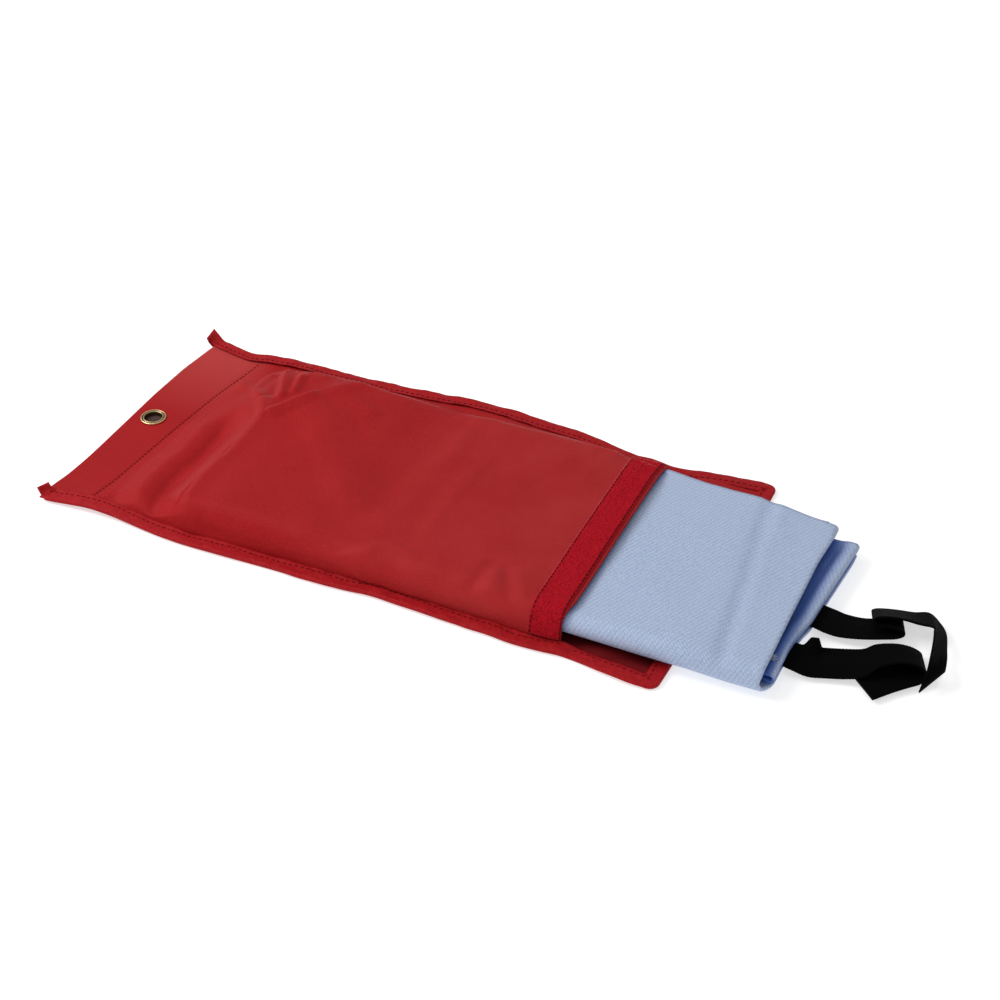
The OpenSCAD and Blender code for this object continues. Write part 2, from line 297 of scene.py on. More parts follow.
class Nodes:
    """Short way to wire a node material."""

    def __init__(self, name):
        self.material = bpy.data.materials.new(name)
        self.material.use_nodes = True
        self.tree = self.material.node_tree
        self.shader = self.tree.nodes["Principled BSDF"]

    def add(self, kind, inputs=(), **settings):
        """New node, with its inputs by name or number and its settings by name."""
        node = self.tree.nodes.new(kind)
        for key, value in settings.items():
            setattr(node, key, value)
        for key, value in dict(inputs).items():
            self.feed(node.inputs[key], value)
        return node

    def feed(self, socket, value):
        """Links a node or socket to the socket, or gives it a plain value."""
        if isinstance(value, bpy.types.Node):
            value = value.outputs[0]
        if isinstance(value, bpy.types.NodeSocket):
            self.tree.links.new(value, socket)
        else:
            socket.default_value = value

    def set(self, **inputs):
        """Inputs of the shader, named with underscores for spaces."""
        for key, value in inputs.items():
            self.feed(self.shader.inputs[key.replace("_", " ")], value)

    def math(self, operation, a, b=0.0):
        """Maths node for the operation."""
        return self.add("ShaderNodeMath", {0: a, 1: b}, operation=operation)

    def times(self, a, b):
        return self.math("MULTIPLY", a, b)

    def plus(self, a, b):
        return self.math("ADD", a, b)

    def uv(self):
        """Cloth coordinates in millimetres, along the rows and along the columns."""
        return self.split(self.add("ShaderNodeUVMap", uv_map="cloth").outputs["UV"])

    def place(self):
        """Object coordinates in metres."""
        return self.add("ShaderNodeTexCoord").outputs["Object"]

    def split(self, vector):
        """The vector's X, Y and Z."""
        return self.add("ShaderNodeSeparateXYZ", {"Vector": vector}).outputs

    def from_axis(self):
        """Distance from the eyelet's axis, in metres."""
        at = self.split(self.place())
        return self.math("SQRT", self.plus(self.times(at[0], at[0]), self.times(at[1], at[1])))

    def geometry(self, output):
        """The named fact about the surface."""
        return self.add("ShaderNodeNewGeometry").outputs[output]

    def openness(self, reach, depth):
        """Ambient occlusion for painting shade: 1 in the open, less with other cloth within reach (in
        millimetres); depth makes it fall faster.
        """
        shade = self.add("ShaderNodeAmbientOcclusion", {"Distance": reach * MM}, samples=8)
        return self.math("POWER", shade.outputs["AO"], depth)

    def facing_down(self, least):
        """1 where the surface's normal has a Z under the given one."""
        return self.math("LESS_THAN", self.split(self.geometry("Normal"))[2], least)

    def noise(self, vector, scale, detail=3.0, rough=0.55):
        """Noise between 0 and 1, with the scale in features for each metre."""
        node = self.add("ShaderNodeTexNoise", {"Vector": vector, "Scale": scale, "Detail": detail,
                                               "Roughness": rough})
        return node.outputs["Fac"]

    def mix(self, factor, a, b):
        """Blend of two colours. The node's colours are its inputs 6 and 7 and its output 2."""
        return self.add("ShaderNodeMix", {0: factor, 6: a, 7: b}, data_type="RGBA").outputs[2]

    def span(self, value, low, high):
        """Maps 0..1 to low..high."""
        return self.add("ShaderNodeMapRange", {"Value": value, "To Min": low, "To Max": high}).outputs[0]

    def remap(self, value, start, end, high=1.0):
        """Maps start..end to 0..high."""
        inputs = {"Value": value, "From Min": start, "From Max": end, "To Max": high}
        return self.add("ShaderNodeMapRange", inputs).outputs[0]

    def wave(self, coordinate, pitch):
        """Sine wave between -1 and 1 along one coordinate."""
        return self.math("SINE", self.times(coordinate, 2 * math.pi / pitch))

    def bump(self, height, strength, distance_mm, normal=None):
        """Surface normal pushed about by height, over another bump if one is given."""
        inputs = {"Height": height, "Strength": strength, "Distance": distance_mm * MM}
        if normal is not None:
            inputs["Normal"] = normal
        return self.add("ShaderNodeBump", inputs).outputs["Normal"]


def rgb(red, green, blue):
    """Opaque colour, in linear light."""
    return (red, green, blue, 1.0)


def plain_weave(n, pitch):
    """Height of a plain weave: over and under threads in a chequer."""
    u, v = n.uv()[:2]
    return n.times(n.wave(u, pitch), n.wave(v, pitch))


def nylon(name="pouch_nylon", reach=0.0):
    """Coated nylon: fine weave, faint satin, and paler patches over the crown and the far header that are
    painted sheen.

    With a reach (in millimetres), the near part's upper face gets painted shade, deep red, close under other
    cloth.
    """
    n = Nodes(name)
    mottle = n.noise(n.place(), 30, 4)
    speck = n.noise(n.place(), 1100, 2)
    weave = plain_weave(n, 1.0)
    base = n.mix(n.span(mottle, -0.2, 1.1), rgb(0.280, 0.0045, 0.006), rgb(0.335, 0.009, 0.010))
    base = n.mix(n.span(speck, -0.9, 1.1), base, rgb(0.40, 0.016, 0.020))
    base = n.mix(n.span(weave, -0.1, 0.22), base, rgb(0.20, 0.002, 0.005))
    x, y = n.split(n.place())[:2]
    # Painted sheen: paler, pinker patches over the crown, where the satin catches the light
    base = n.mix(n.times(n.remap(x, 0.13, 0.25, 0.75), mottle), base, rgb(0.375, 0.030, 0.030))
    # Painted sheen at the header's far end
    far_header_sheen = n.times(n.remap(y, 0.01, 0.08, 0.9), n.remap(x, 0.04, 0.02))
    base = n.mix(far_header_sheen, base, rgb(0.40, 0.042, 0.040))
    # Painted shade: deep red where other cloth lies close above
    if reach:
        spared = n.math("MAXIMUM", n.remap(y, -0.02, 0.02), n.facing_down(0.0))
        free_of_painted_shade = n.math("MAXIMUM", n.openness(reach, 2.2), spared)
        base = n.mix(free_of_painted_shade, rgb(0.05, 0.0005, 0.002), base)
    fine = n.bump(weave, 0.3, 0.12)
    puckered = n.bump(n.noise(n.place(), 240, 3), 0.14, 1.0, fine)
    n.set(Base_Color=base, Roughness=n.span(mottle, 0.54, 0.68), Normal=puckered, IOR=1.27,
          Sheen_Weight=0.03, Sheen_Roughness=0.5, Sheen_Tint=rgb(1.0, 0.2, 0.2),
          Specular_Tint=rgb(1.0, 0.4, 0.4))
    return n.material


def binding_tape():
    """Woven binding: brighter red, crossways ribs and a crumpled surface."""
    n = Nodes("binding_tape")
    ribs = n.wave(n.uv()[0], 0.8)
    crumple = n.noise(n.place(), 320, 4, 0.6)
    base = n.mix(crumple, rgb(0.23, 0.003, 0.006), rgb(0.43, 0.014, 0.017))
    n.set(Base_Color=base, Roughness=0.5, Specular_Tint=rgb(1.0, 0.4, 0.4), Specular_IOR_Level=0.14,
          Normal=n.bump(crumple, 0.5, 1.4, n.bump(ribs, 0.3, 0.12)))
    return n.material


def loop_pile():
    """Loop tape: deep crimson pile, darker between its loops, with a pale painted sheen where it is seen at a
    glance.
    """
    n = Nodes("loop_pile")
    cells = n.add("ShaderNodeTexVoronoi", {"Vector": n.place(), "Scale": 1150.0, "Randomness": 1.0})
    tuft = n.math("SUBTRACT", 1.0, cells.outputs["Distance"])
    patches = n.noise(n.place(), 120, 3)
    base = n.mix(n.span(tuft, -0.1, 1.0), rgb(0.20, 0.001, 0.006), rgb(0.50, 0.005, 0.014))
    base = n.mix(n.span(patches, 0.0, 0.3), base, rgb(0.54, 0.010, 0.022))
    # Painted sheen: pale pink on the loops where the tape is seen at a glancing angle
    glance = n.add("ShaderNodeLayerWeight", {"Blend": 0.5}).outputs["Facing"]
    fuzz = n.remap(glance, 0.62, 0.9, 0.7)
    base = n.mix(n.times(fuzz, tuft), base, rgb(0.75, 0.22, 0.22))
    n.set(Base_Color=base, Roughness=0.9, Sheen_Weight=0.05, Sheen_Roughness=0.4,
          Sheen_Tint=rgb(1.0, 0.25, 0.3), Normal=n.bump(tuft, 0.6, 0.5), Specular_IOR_Level=0.1)
    return n.material


def hook_pile():
    """Hook tape: stiff moulded hooks in rows."""
    n = Nodes("hook_pile")
    rows = plain_weave(n, 1.5)
    n.set(Base_Color=n.mix(n.span(rows, 0.0, 1.0), rgb(0.22, 0.003, 0.008), rgb(0.52, 0.012, 0.022)),
          Roughness=0.55, Normal=n.bump(rows, 0.6, 0.6), Specular_IOR_Level=0.2)
    return n.material


def thread(name, dark, light):
    """Twisted sewing thread."""
    n = Nodes(name)
    fibre = n.noise(n.place(), 2500, 2)
    n.set(Base_Color=n.mix(fibre, dark, light), Roughness=0.7, Normal=n.bump(fibre, 0.5, 0.2),
          Specular_IOR_Level=0.08)
    return n.material


def eyelet_brass():
    """Antique brass: dark in the groove and inside, worn bright on both rims."""
    n = Nodes("eyelet_brass")
    ring = n.add("ShaderNodeValToRGB", {"Fac": n.math("DIVIDE", n.from_axis(), FLANGE_R * MM)})
    stops = ((0.0, 0.05), (0.69, 0.15), (0.76, 0.85), (0.81, 0.25), (0.85, 0.05), (0.89, 0.4), (0.94, 1.0))
    ramp_stops = ring.color_ramp.elements
    while len(ramp_stops) < len(stops):
        ramp_stops.new(0.5)
    for stop, (where, value) in zip(ramp_stops, stops):
        stop.position = where
        stop.color = (value, value, value, 1)
    patina = n.noise(n.place(), 700, 4, 0.65)
    wear = n.times(ring.outputs["Color"], n.span(patina, 0.6, 1.25))
    base = n.mix(wear, rgb(0.06, 0.04, 0.018), rgb(0.85, 0.64, 0.33))
    n.set(Base_Color=base, Metallic=1.0, Roughness=n.span(patina, 0.22, 0.45),
          Normal=n.bump(patina, 0.15, 0.2))
    return n.material


def glass_cloth(name="glass_cloth", reach=4.0, depth=1.5):
    """Glass-fibre twill: slanting rows of short pale floats, with deep blue shade painted where the cloth
    shades itself.

    Cloth with other cloth within reach (in millimetres) gets a painted deep blue shade; depth is how
    strongly.
    """
    n = Nodes(name)
    u, v = n.uv()[:2]
    stray = n.times(n.noise(n.place(), 420, 2), 0.7)
    rows = n.wave(n.math("SUBTRACT", n.times(u, 0.65), n.times(v, 0.76)), 1.4)
    floats = n.wave(n.plus(n.plus(u, n.times(v, 0.5)), stray), 2.5)
    fleck = n.span(n.noise(n.place(), 900, 2), -0.45, 0.45)
    dots = n.plus(n.span(n.times(n.plus(rows, floats), 0.25), 0.5, 1.5), fleck)
    strands = n.wave(n.plus(u, v), 0.4)
    tone = n.noise(n.place(), 16, 3)
    base = n.mix(dots, rgb(0.165, 0.24, 0.44), rgb(0.51, 0.59, 0.745))
    base = n.mix(n.span(tone, -0.1, 0.5), base, rgb(0.39, 0.46, 0.61))
    # Painted shade: deep blue where other cloth lies within reach; faces turned down are spared
    free_of_painted_shade = n.math("MAXIMUM", n.openness(reach, depth), n.facing_down(-0.8))
    base = n.mix(free_of_painted_shade, rgb(0.035, 0.10, 0.38), base)
    fine = n.bump(strands, 0.12, 0.08)
    n.set(Base_Color=base, Roughness=n.span(dots, 0.7, 0.58), Normal=n.bump(dots, 0.5, 0.35, fine),
          Sheen_Weight=0.05, Sheen_Roughness=0.5, Specular_IOR_Level=0.3)
    return n.material


def black_webbing():
    """Polypropylene webbing: lengthways ribs crossed by a fine herringbone."""
    n = Nodes("black_webbing")
    u, v = n.uv()[:2]
    slant = n.wave(n.plus(u, n.math("ABSOLUTE", v)), 0.9)
    cloth = n.plus(n.wave(v, 1.6), n.times(slant, 0.6))
    dust = n.noise(n.place(), 500, 3)
    n.set(Base_Color=n.mix(n.span(dust, 0.0, 0.5), rgb(0.0006, 0.0006, 0.0008), rgb(0.002, 0.002, 0.0024)),
          Roughness=0.75, Normal=n.bump(cloth, 0.5, 0.3), Specular_IOR_Level=0.04)
    return n.material


def pale_floor():
    """Pale floor with a painted shadow under the eyelet's hole while it lies at rest, and clear from below.
    """
    n = Nodes("pale_floor")
    height = n.split(n.geometry("Position"))[2]
    # Painted shadow: dark floor under the eyelet's hole while it lies at rest
    under_hole = n.math("LESS_THAN", n.from_axis(), 7 * MM)
    shaded = n.times(under_hole, n.math("GREATER_THAN", height, -MM))
    n.set(Base_Color=n.mix(shaded, rgb(0.6, 0.6, 0.6), rgb(0.05, 0.022, 0.018)), Roughness=0.9,
          Emission_Color=rgb(1, 1, 1), Emission_Strength=n.span(shaded, 0.56, 0.0))
    clear = n.add("ShaderNodeBsdfTransparent")
    mixed = n.add("ShaderNodeMixShader", {0: n.geometry("Backfacing"), 1: n.shader, 2: clear})
    n.feed(n.tree.nodes["Material Output"].inputs["Surface"], mixed)
    return n.material


MATERIALS = {
    "pouch_nylon": nylon(),
    "nylon_with_painted_shade": nylon("nylon_with_painted_shade", reach=24.0),
    "binding_tape": binding_tape(),
    "loop_pile": loop_pile(),
    "hook_pile": hook_pile(),
    "red_thread": thread("red_thread", rgb(0.04, 0.001, 0.002), rgb(0.12, 0.003, 0.005)),
    "eyelet_brass": eyelet_brass(),
    "glass_cloth": glass_cloth(),
    "glass_cloth_deep_painted_shade": glass_cloth("glass_cloth_deep_painted_shade", reach=15.0, depth=5.5),
    "white_thread": thread("white_thread", rgb(0.5, 0.55, 0.65), rgb(0.85, 0.88, 0.92)),
    "black_webbing": black_webbing(),
    "black_thread": thread("black_thread", rgb(0.004, 0.004, 0.004), rgb(0.02, 0.02, 0.02)),
    "pale_floor": pale_floor(),
}


def dress(obj, slot, *nodes):
    """Hides the CAD nodes that a piece stands for; its slot is not used."""
    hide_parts(*nodes)
    return obj


# ---- how the pouch lies: its edges in plan, and where they lift off the floor ----


def near_edge(x):
    """Y of the pouch's near outer edge."""
    return along([(-25, -97.8), (-9, -97.8), (-2, -97), (8, -95.8), (24, -94.4), (39, -95.4), (62, -97.2),
                  (84, -98.6), (103, -97.8), (141, -96.2), (180, -95.4), (192, -94.8), (203, -92.6),
                  (228, -93.6), (249, -94.8), (276, -94.4), (288, -96), (300, -95.4), (318, -93.2),
                  (330, -94.6), (341, -96.4), (363, -97.8), (390, -96.6)], x)


def far_edge(x):
    """Y of the pouch's far outer edge."""
    return along([(-20, 93), (-8, 93), (5, 91.2), (21, 89.2), (30, 91.2), (49, 93.6), (73, 93.6), (108, 94.8),
                  (133, 96.2), (151, 97), (174, 99.4), (201, 99.6), (221, 98), (249, 96.8), (262, 94.8),
                  (273, 92.2), (287, 89), (300, 89.6), (314, 86.6), (326, 89.4), (338, 91.6), (352, 93.6),
                  (367, 95.2), (390, 96)], x, 4.0)


def hem_shift(x, y):
    """How far the hem strays from a straight line, in X; the cloth past the eyelet is not moved."""
    hem = [(-95, -0.6), (-75, 0.5), (-50, 1.2), (0, -0.5), (22, -1.4), (60, -1.1), (83, 2.5), (92, 5)]
    return along(hem, y, 6.0) * (1 - ramp(x, HEM_X, 12))


def seam_shift(x, y):
    """How far the header seam runs askew, in X."""
    askew = along([(-90, -4.6), (-3, -0.8), (40, 2.4), (84, 9)], y, 8.0)
    return askew * ramp(x, HEM_X + 20, SEAM_X - 3) * (1 - ramp(x, SEAM_X + 6, SEAM_X + 34))


def flap_slant(x, y):
    """How far the flap's end stands askew, in X."""
    return 1.8 * (np.asarray(y) / HALF_W - 0.3) * ramp(x, FOLD_X + 5, FLAP_END)


def lift(x, y):
    """Height that the pouch's edges stand off the floor."""
    near = along([(-40, 0.6), (-13, 0.6), (0, 1.2), (20, 2.6), (40, 1.6), (62, 0.4), (140, 0.2), (240, 0.7),
                  (320, 0.2), (352, 1.4), (375, 0.2)], x)
    far = along([(-40, 1.8), (-8, 1.8), (4, 1.4), (18, 0.5), (32, 1.6), (60, 1.4), (120, 0.8), (190, 2.4),
                 (250, 0.8), (320, 0.5), (340, 1.4), (372, 0.4)], x)
    curl = 0.6 * (1 - ramp(x, HEM_X - 2, 3)) * bump(-np.asarray(y), 84, 13)
    reach = 34
    near = near * (1 - ramp(y, -HALF_W, -HALF_W + reach))
    return near + far * ramp(y, HALF_W - reach, HALF_W) + curl


# ---- pouch cloth ----


def back_grid():
    """Back panel and flap as one sheet, from the top hem to the flap's end."""
    rows = np.concatenate([np.arange(HEM_X, SEAM_X, 2.0), np.arange(SEAM_X, FLAP_END - 8, 3.0),
                           np.linspace(FLAP_END - 7, FLAP_END - 1.2, 7)])
    x, share = crossed(rows, np.linspace(0, 1, 95))
    depth = np.clip(x - (FLAP_END - CORNER_R), 0, CORNER_R - 1)
    inset = 1.2 + CORNER_R - np.sqrt(CORNER_R**2 - depth**2)
    near, far = near_edge(x) + inset, far_edge(x) - inset
    y = near + (far - near) * share
    edge = np.minimum(y - near, far - y)
    field = ramp(edge, BIND_W - 1.5, BIND_W + 1.5) * ramp(x, SEAM_X - 4, SEAM_X + 2)
    field = field * (1 - ramp(x, FLAP_END - BIND_W - 1, FLAP_END - BIND_W + 2))
    z = BACK_Z + (FIELD_Z - BACK_Z) * field + lift(x, y)
    under_hooks = ramp(x, HOOK_LOW[0] - 6, HOOK_LOW[0] - 1)
    under_hooks = under_hooks * (1 - ramp(x, HOOK_HIGH[0] + 1, HOOK_HIGH[0] + 6))
    z = z + flap_ridge(x, y) + 0.35 * field * (1 + soft_noise(x, y, 26, 11)) * (1 - under_hooks)
    x = x + hem_shift(x, y) + flap_slant(x, y)
    return np.stack([x, y, z], axis=2)


def flap_ridge(x, y):
    """Soft ridges on the flap's near and far parts, where the cloth has kept its folds."""
    near = bump(y, -82 + 0.25 * (x - FOLD_X), 7) * bump(x, FOLD_X + 24, 26)
    far = bump(y, 83 - 0.1 * (x - FOLD_X), 9) * bump(x, FOLD_X + 22, 30)
    return 1.6 * near + 1.3 * far


def crown_section(count):
    """The front panel's full-height cross-section between its feet, as (y, z)."""
    top = STACK_TOP + NYLON / 2 + 1.1
    radius = STACK_R + 4
    near_y = CLOTH_LOW[1] - 1.6 + radius
    far_y = CLOTH_HIGH[1]
    path = np.vstack([
        [(-FOOT, FLANGE_Z), (-FOOT + 0.5, FLANGE_Z + 2.5)],
        arc((near_y, top - radius), radius, 178, 90, 11),
        [(-30, top + 1.2), (10, top + 1.4), (far_y - 12, top + 0.6), (far_y + 0.5, top - 0.6)],
        [(far_y + 8, top - 4.5), (far_y + 17, FLANGE_Z + 3.6), (FOOT, FLANGE_Z)],
    ])
    return resample(path, count)


# The front panel's grid: columns in each sewn flange and between them, and rows from hem to mouth.
# The finished panel is DETAIL times finer; FIRST_COLUMN and LAST_COLUMN are its two long seams.
FLANGE_COLUMNS = 5
FIELD_COLUMNS = 85
PANEL_ROWS = np.concatenate([np.arange(HEM_X, SEAM_X - 3, 1.9), SEAM_X - np.array([2.4, 1.8, 1.2, 0.6]),
                             np.arange(SEAM_X, CROWN_X + 26, 1.4), np.arange(CROWN_X + 26, MOUTH_X - 1, 2.8),
                             [MOUTH_X]])
SEAM_ROW = int(np.argmin(np.abs(PANEL_ROWS - SEAM_X)))
PANEL_COLUMNS = 2 * FLANGE_COLUMNS + FIELD_COLUMNS
DETAIL = 2
FIRST_COLUMN = DETAIL * FLANGE_COLUMNS
LAST_COLUMN = DETAIL * (PANEL_COLUMNS - FLANGE_COLUMNS - 1)


def front_grid():
    """Front panel before it is draped: flat in the header, then rising to the crown."""
    full = crown_section(FIELD_COLUMNS)
    share = np.linspace(0, 1, FIELD_COLUMNS)
    grid = np.zeros((len(PANEL_ROWS), PANEL_COLUMNS, 3))
    for i, x in enumerate(PANEL_ROWS):
        near, far = near_edge(x), far_edge(x)
        foot_near, foot_far = near + BIND_W, far - BIND_W
        climb = float(np.clip((x - SEAM_X) / (CROWN_X - SEAM_X), 0, 1))
        rise = 0.45 * climb + 0.55 * float(smooth(climb))
        flat_y = foot_near + (foot_far - foot_near) * share
        full_y = full[:, 0] + (foot_near + FOOT) * (1 - share) + (foot_far - FOOT) * share
        y = flat_y * (1 - rise) + full_y * rise
        z = FLANGE_Z * (1 - rise) + full[:, 1] * rise
        flange = np.linspace(1.0, BIND_W, FLANGE_COLUMNS, endpoint=False)
        y = np.concatenate([near + flange, y, far - flange[::-1]])
        z = np.concatenate([np.full(FLANGE_COLUMNS, FLANGE_Z), z, np.full(FLANGE_COLUMNS, FLANGE_Z)])
        bent = x + hem_shift(x, y) + seam_shift(x, y)
        bent = bent - 3.6 * ramp(-y, 70, 84) * ramp(x, TAPE_HIGH[0] - 3, MOUTH_X)
        grid[i] = np.stack([bent, y, z + lift(x, y)], axis=1)
    return grid


def crease(x, y, start, end, height, left, right, soft=False):
    """Ridge between two points in plan, sharp unless soft; left and right are its flanks' widths."""
    start, end = np.array(start, float), np.array(end, float)
    length = np.linalg.norm(end - start)
    way = (end - start) / length
    dx, dy = x - start[0], y - start[1]
    run = dx * way[0] + dy * way[1]
    side = dy * way[0] - dx * way[1]
    tent = np.clip(1 - np.where(side > 0, side / left, -side / right), 0, 1)
    width = (left + right) / 2
    ends = np.clip(run / width + 0.6, 0, 1) * np.clip((length - run) / width + 0.6, 0, 1)
    return height * smooth(ends) * (smooth(tent) if soft else tent)


def header_slope(x, y, z):
    """Height with the near part of the slope pressed into a swell, a hollow and a steep bright face."""
    profile = [(SEAM_X, FLANGE_Z), (32, 6.7), (41, 10.0), (47, 8.9), (53.5, 5.9), (57, 7.0), (76, 20.8),
               (84, 20.3), (98, 20.3)]
    bend = 0.12 * np.clip(-55 - y, 0, 45) + 1.3 * soft_noise(y, 0, 15, 71)
    edge = y - near_edge(x) - BIND_W
    wall = np.sqrt(1 - (1 - np.clip(edge / 13, 0, 1)) ** 2)
    target = FLANGE_Z + (along(profile, x - bend, 2.4) - FLANGE_Z) * wall
    share = ramp(x, SEAM_X + 1, SEAM_X + 9) * (1 - ramp(x, 84, 98)) * (1 - ramp(y, -8, 26)) * ramp(edge, 0, 3)
    return z + share * (target - z)


def header_creases(x, y):
    """Fan of sharp folds at the far end of the seam, where the slope meets the full height."""
    # Each fold here and over the crown: start, end, height, left and right flank, and soft or not
    ridges = [
        ((30, 54), (42, 47), 1.8, 6, 4), ((42, 47), (52, 37), 2.4, 6, 5), ((52, 37), (64, 27), 2.8, 6, 5),
        ((64, 27), (77, 6), 2.6, 9, 5), ((48, 61), (52, 38), 2.2, 6, 6), ((61, 62), (76, 29), 3.2, 6, 5),
        ((76, 57), (81, 36), 2.2, 5, 4), ((77, 10), (95, 41), 3.2, 5, 9), ((96, 42), (118, 66), 1.4, 12, 9)]
    folds = np.max([crease(x, y, *ridge) for ridge in ridges], axis=0)
    return folds - crease(x, y, (56, 60), (71, 30), 1.5, 5, 5)


def crown_creases(x, y):
    """Shallow folds over the blanket and short tucks that run in from the near seam."""
    folds = [
        ((96, 30), (176, -52), 2.0, 26, 18, True), ((103, 54), (138, 36), 1.2, 9, 12),
        ((192, -60), (200, 40), 1.2, 16, 16, True), ((172, -92), (199, -76), 2.0, 5, 14, True),
        ((258, -90), (263, -60), -1.3, 5, 6), ((286, -88), (270, -60), -1.4, 5, 7),
        ((272, -90), (268, -66), 1.0, 6, 5)]
    return sum(crease(x, y, *fold) for fold in folds) - 1.7 * bump(x + 0.02 * y, 178, 30)


def soften(values):
    """Averages each grid value with its neighbours."""
    for axis in (0, 1):
        margins = [(1, 1) if axis == k else (0, 0) for k in range(values.ndim)]
        padded = np.pad(values, margins, mode="edge")
        count = values.shape[axis]
        before, after = np.take(padded, range(count), axis), np.take(padded, range(2, count + 2), axis)
        values = (before + 2 * values + after) / 4
    return values


def stowed_top(y):
    """Least height of the panel over the stowed blanket, across the pouch."""
    least = STACK_TOP + NYLON / 2 + 0.35
    far_y = CLOTH_HIGH[1]
    return np.where(y < far_y + 1, least, np.where(y < far_y + 3.5, least - 2.2, 0))


def push_out(grid):
    """Moves the panel clear of the stowed blanket, whose near side is rounded.

    Between the hem and the stowed blanket's end the least distances shrink with the slope.
    """
    side_gap, floor_gap, slope = 0.7, 0.55, 0.72
    x, y, z = grid[..., 0], grid[..., 1], grid[..., 2]
    centre_y, centre_z = CLOTH_LOW[1] + STACK_R, STACK_LOW + STACK_R
    short = slope * np.maximum(STOWED_X - 0.5 - x, 0)
    dy, dz = y - centre_y, np.maximum(z - centre_z, 0)
    reach = np.hypot(dy, dz)
    least = STACK_R + side_gap - short
    near = (dy < 0) & (reach < least) & (z > FLANGE_Z + 1)
    scale = np.where(near, least / np.maximum(reach, 1.0), 1.0)
    grid[..., 1] = np.where(near, centre_y + dy * scale, y)
    z = np.where(near & (dz > 0), centre_z + dz * scale, z)
    z = np.where(dy >= 0, np.maximum(z, stowed_top(y) - short), z)
    grid[..., 2] = np.maximum(z, BACK_Z + floor_gap + lift(x, y))
    return grid


def stowed_block():
    """Form with the stowed blanket's section and a sloping header end, for the cloth to settle on."""
    top = STACK_TOP + 0.9
    radius = STACK_R + 3.4
    near_y, far_y = CLOTH_LOW[1] - 1, CLOTH_HIGH[1] + 1
    section = np.vstack([
        [(near_y, -1)],
        arc((near_y + radius, top - radius), radius, 180, 90, 9),
        [(far_y - 2, top), (far_y, top - 2), (far_y, -1)],
    ])
    slope_x = np.array([CROWN_X - 34, CROWN_X - 17, CROWN_X + 2, 200, MOUTH_X + 20])
    share = np.array([0.05, 0.5, 1, 1, 1])
    grid = np.zeros((len(slope_x), len(section), 3))
    for i, (x, h) in enumerate(zip(slope_x, share)):
        z = np.where(section[:, 1] < 0, -1, section[:, 1] * h)
        grid[i] = np.column_stack([np.full(len(section), x), section[:, 0], z])
    return mesh_object("drape_block", grid.reshape(-1, 3), grid_faces(*grid.shape[:2]), "glass_cloth")


def drape_ground():
    """The back panel as a flat sheet under the draping cloth."""
    z, side, end = BACK_Z + NYLON / 2, 130, MOUTH_X + 60
    points = [(-60, -side, z), (end, -side, z), (end, side, z), (-60, side, z)]
    return mesh_object("drape_ground", points, [(0, 1, 2, 3)], "pouch_nylon")


def make_nylon_cloth(modifier):
    """Gives the cloth simulation the settings of coated nylon."""
    settings = modifier.settings
    settings.quality = 8
    settings.mass = 0.12
    settings.tension_stiffness = 12
    settings.compression_stiffness = 6
    settings.shear_stiffness = 4
    settings.bending_stiffness = 0.6
    settings.vertex_group_mass = "held"
    settings.shrink_min = -0.02
    modifier.collision_settings.distance_min = 0.5 * MM
    modifier.collision_settings.collision_quality = 3


def settle(cloth, modifier, frames):
    """Runs the cloth simulation and returns the cloth's points, in millimetres."""
    scene = bpy.context.scene
    scene.frame_start, scene.frame_end = 1, frames
    modifier.point_cache.frame_end = frames
    for step in range(1, frames + 1):
        scene.frame_set(step)
    evaluated = cloth.evaluated_get(bpy.context.evaluated_depsgraph_get())
    points = np.zeros(3 * len(evaluated.data.vertices))
    evaluated.data.vertices.foreach_get("co", points)
    scene.frame_set(1)
    return points / MM


def drape(grid):
    """Settles the front panel over the blanket by cloth simulation, with its seams held.

    No point moves by more than most. The slope beside the seam stays, and the tape's part moves little.
    """
    frames, most = 26, 6.0
    rows, columns = grid.shape[:2]
    forms = [stowed_block(), drape_ground()]
    for form in forms:
        form.modifiers.new("collision", "COLLISION")
        form.collision.thickness_outer = 0.4 * MM
        form.collision.cloth_friction = 12
    cloth = mesh_object("drape_cloth", grid.reshape(-1, 3), grid_faces(rows, columns), "pouch_nylon")
    held = cloth.vertex_groups.new(name="held")
    i, j = crossed(np.arange(rows), np.arange(columns))
    sewn = (i <= SEAM_ROW) | (j < FLANGE_COLUMNS + 1) | (j >= columns - FLANGE_COLUMNS - 1)
    held.add(np.flatnonzero(sewn.ravel()).tolist(), 1.0, "REPLACE")
    modifier = cloth.modifiers.new("cloth", "CLOTH")
    make_nylon_cloth(modifier)
    settled = settle(cloth, modifier, frames).reshape(rows, columns, 3)
    for obj in [cloth] + forms:
        bpy.data.objects.remove(obj)
    move = soften(soften(settled - grid))
    size = np.linalg.norm(move, axis=2, keepdims=True)
    free = ramp(PANEL_ROWS, CROWN_X - 16, CROWN_X + 22)
    free = free * (1 - 0.8 * ramp(PANEL_ROWS, TAPE_LOW[0] - 12, TAPE_LOW[0]))
    move = move * ~sewn[..., None] * free[:, None, None]
    return grid + move * np.minimum(1, most / np.maximum(size, 1e-6))


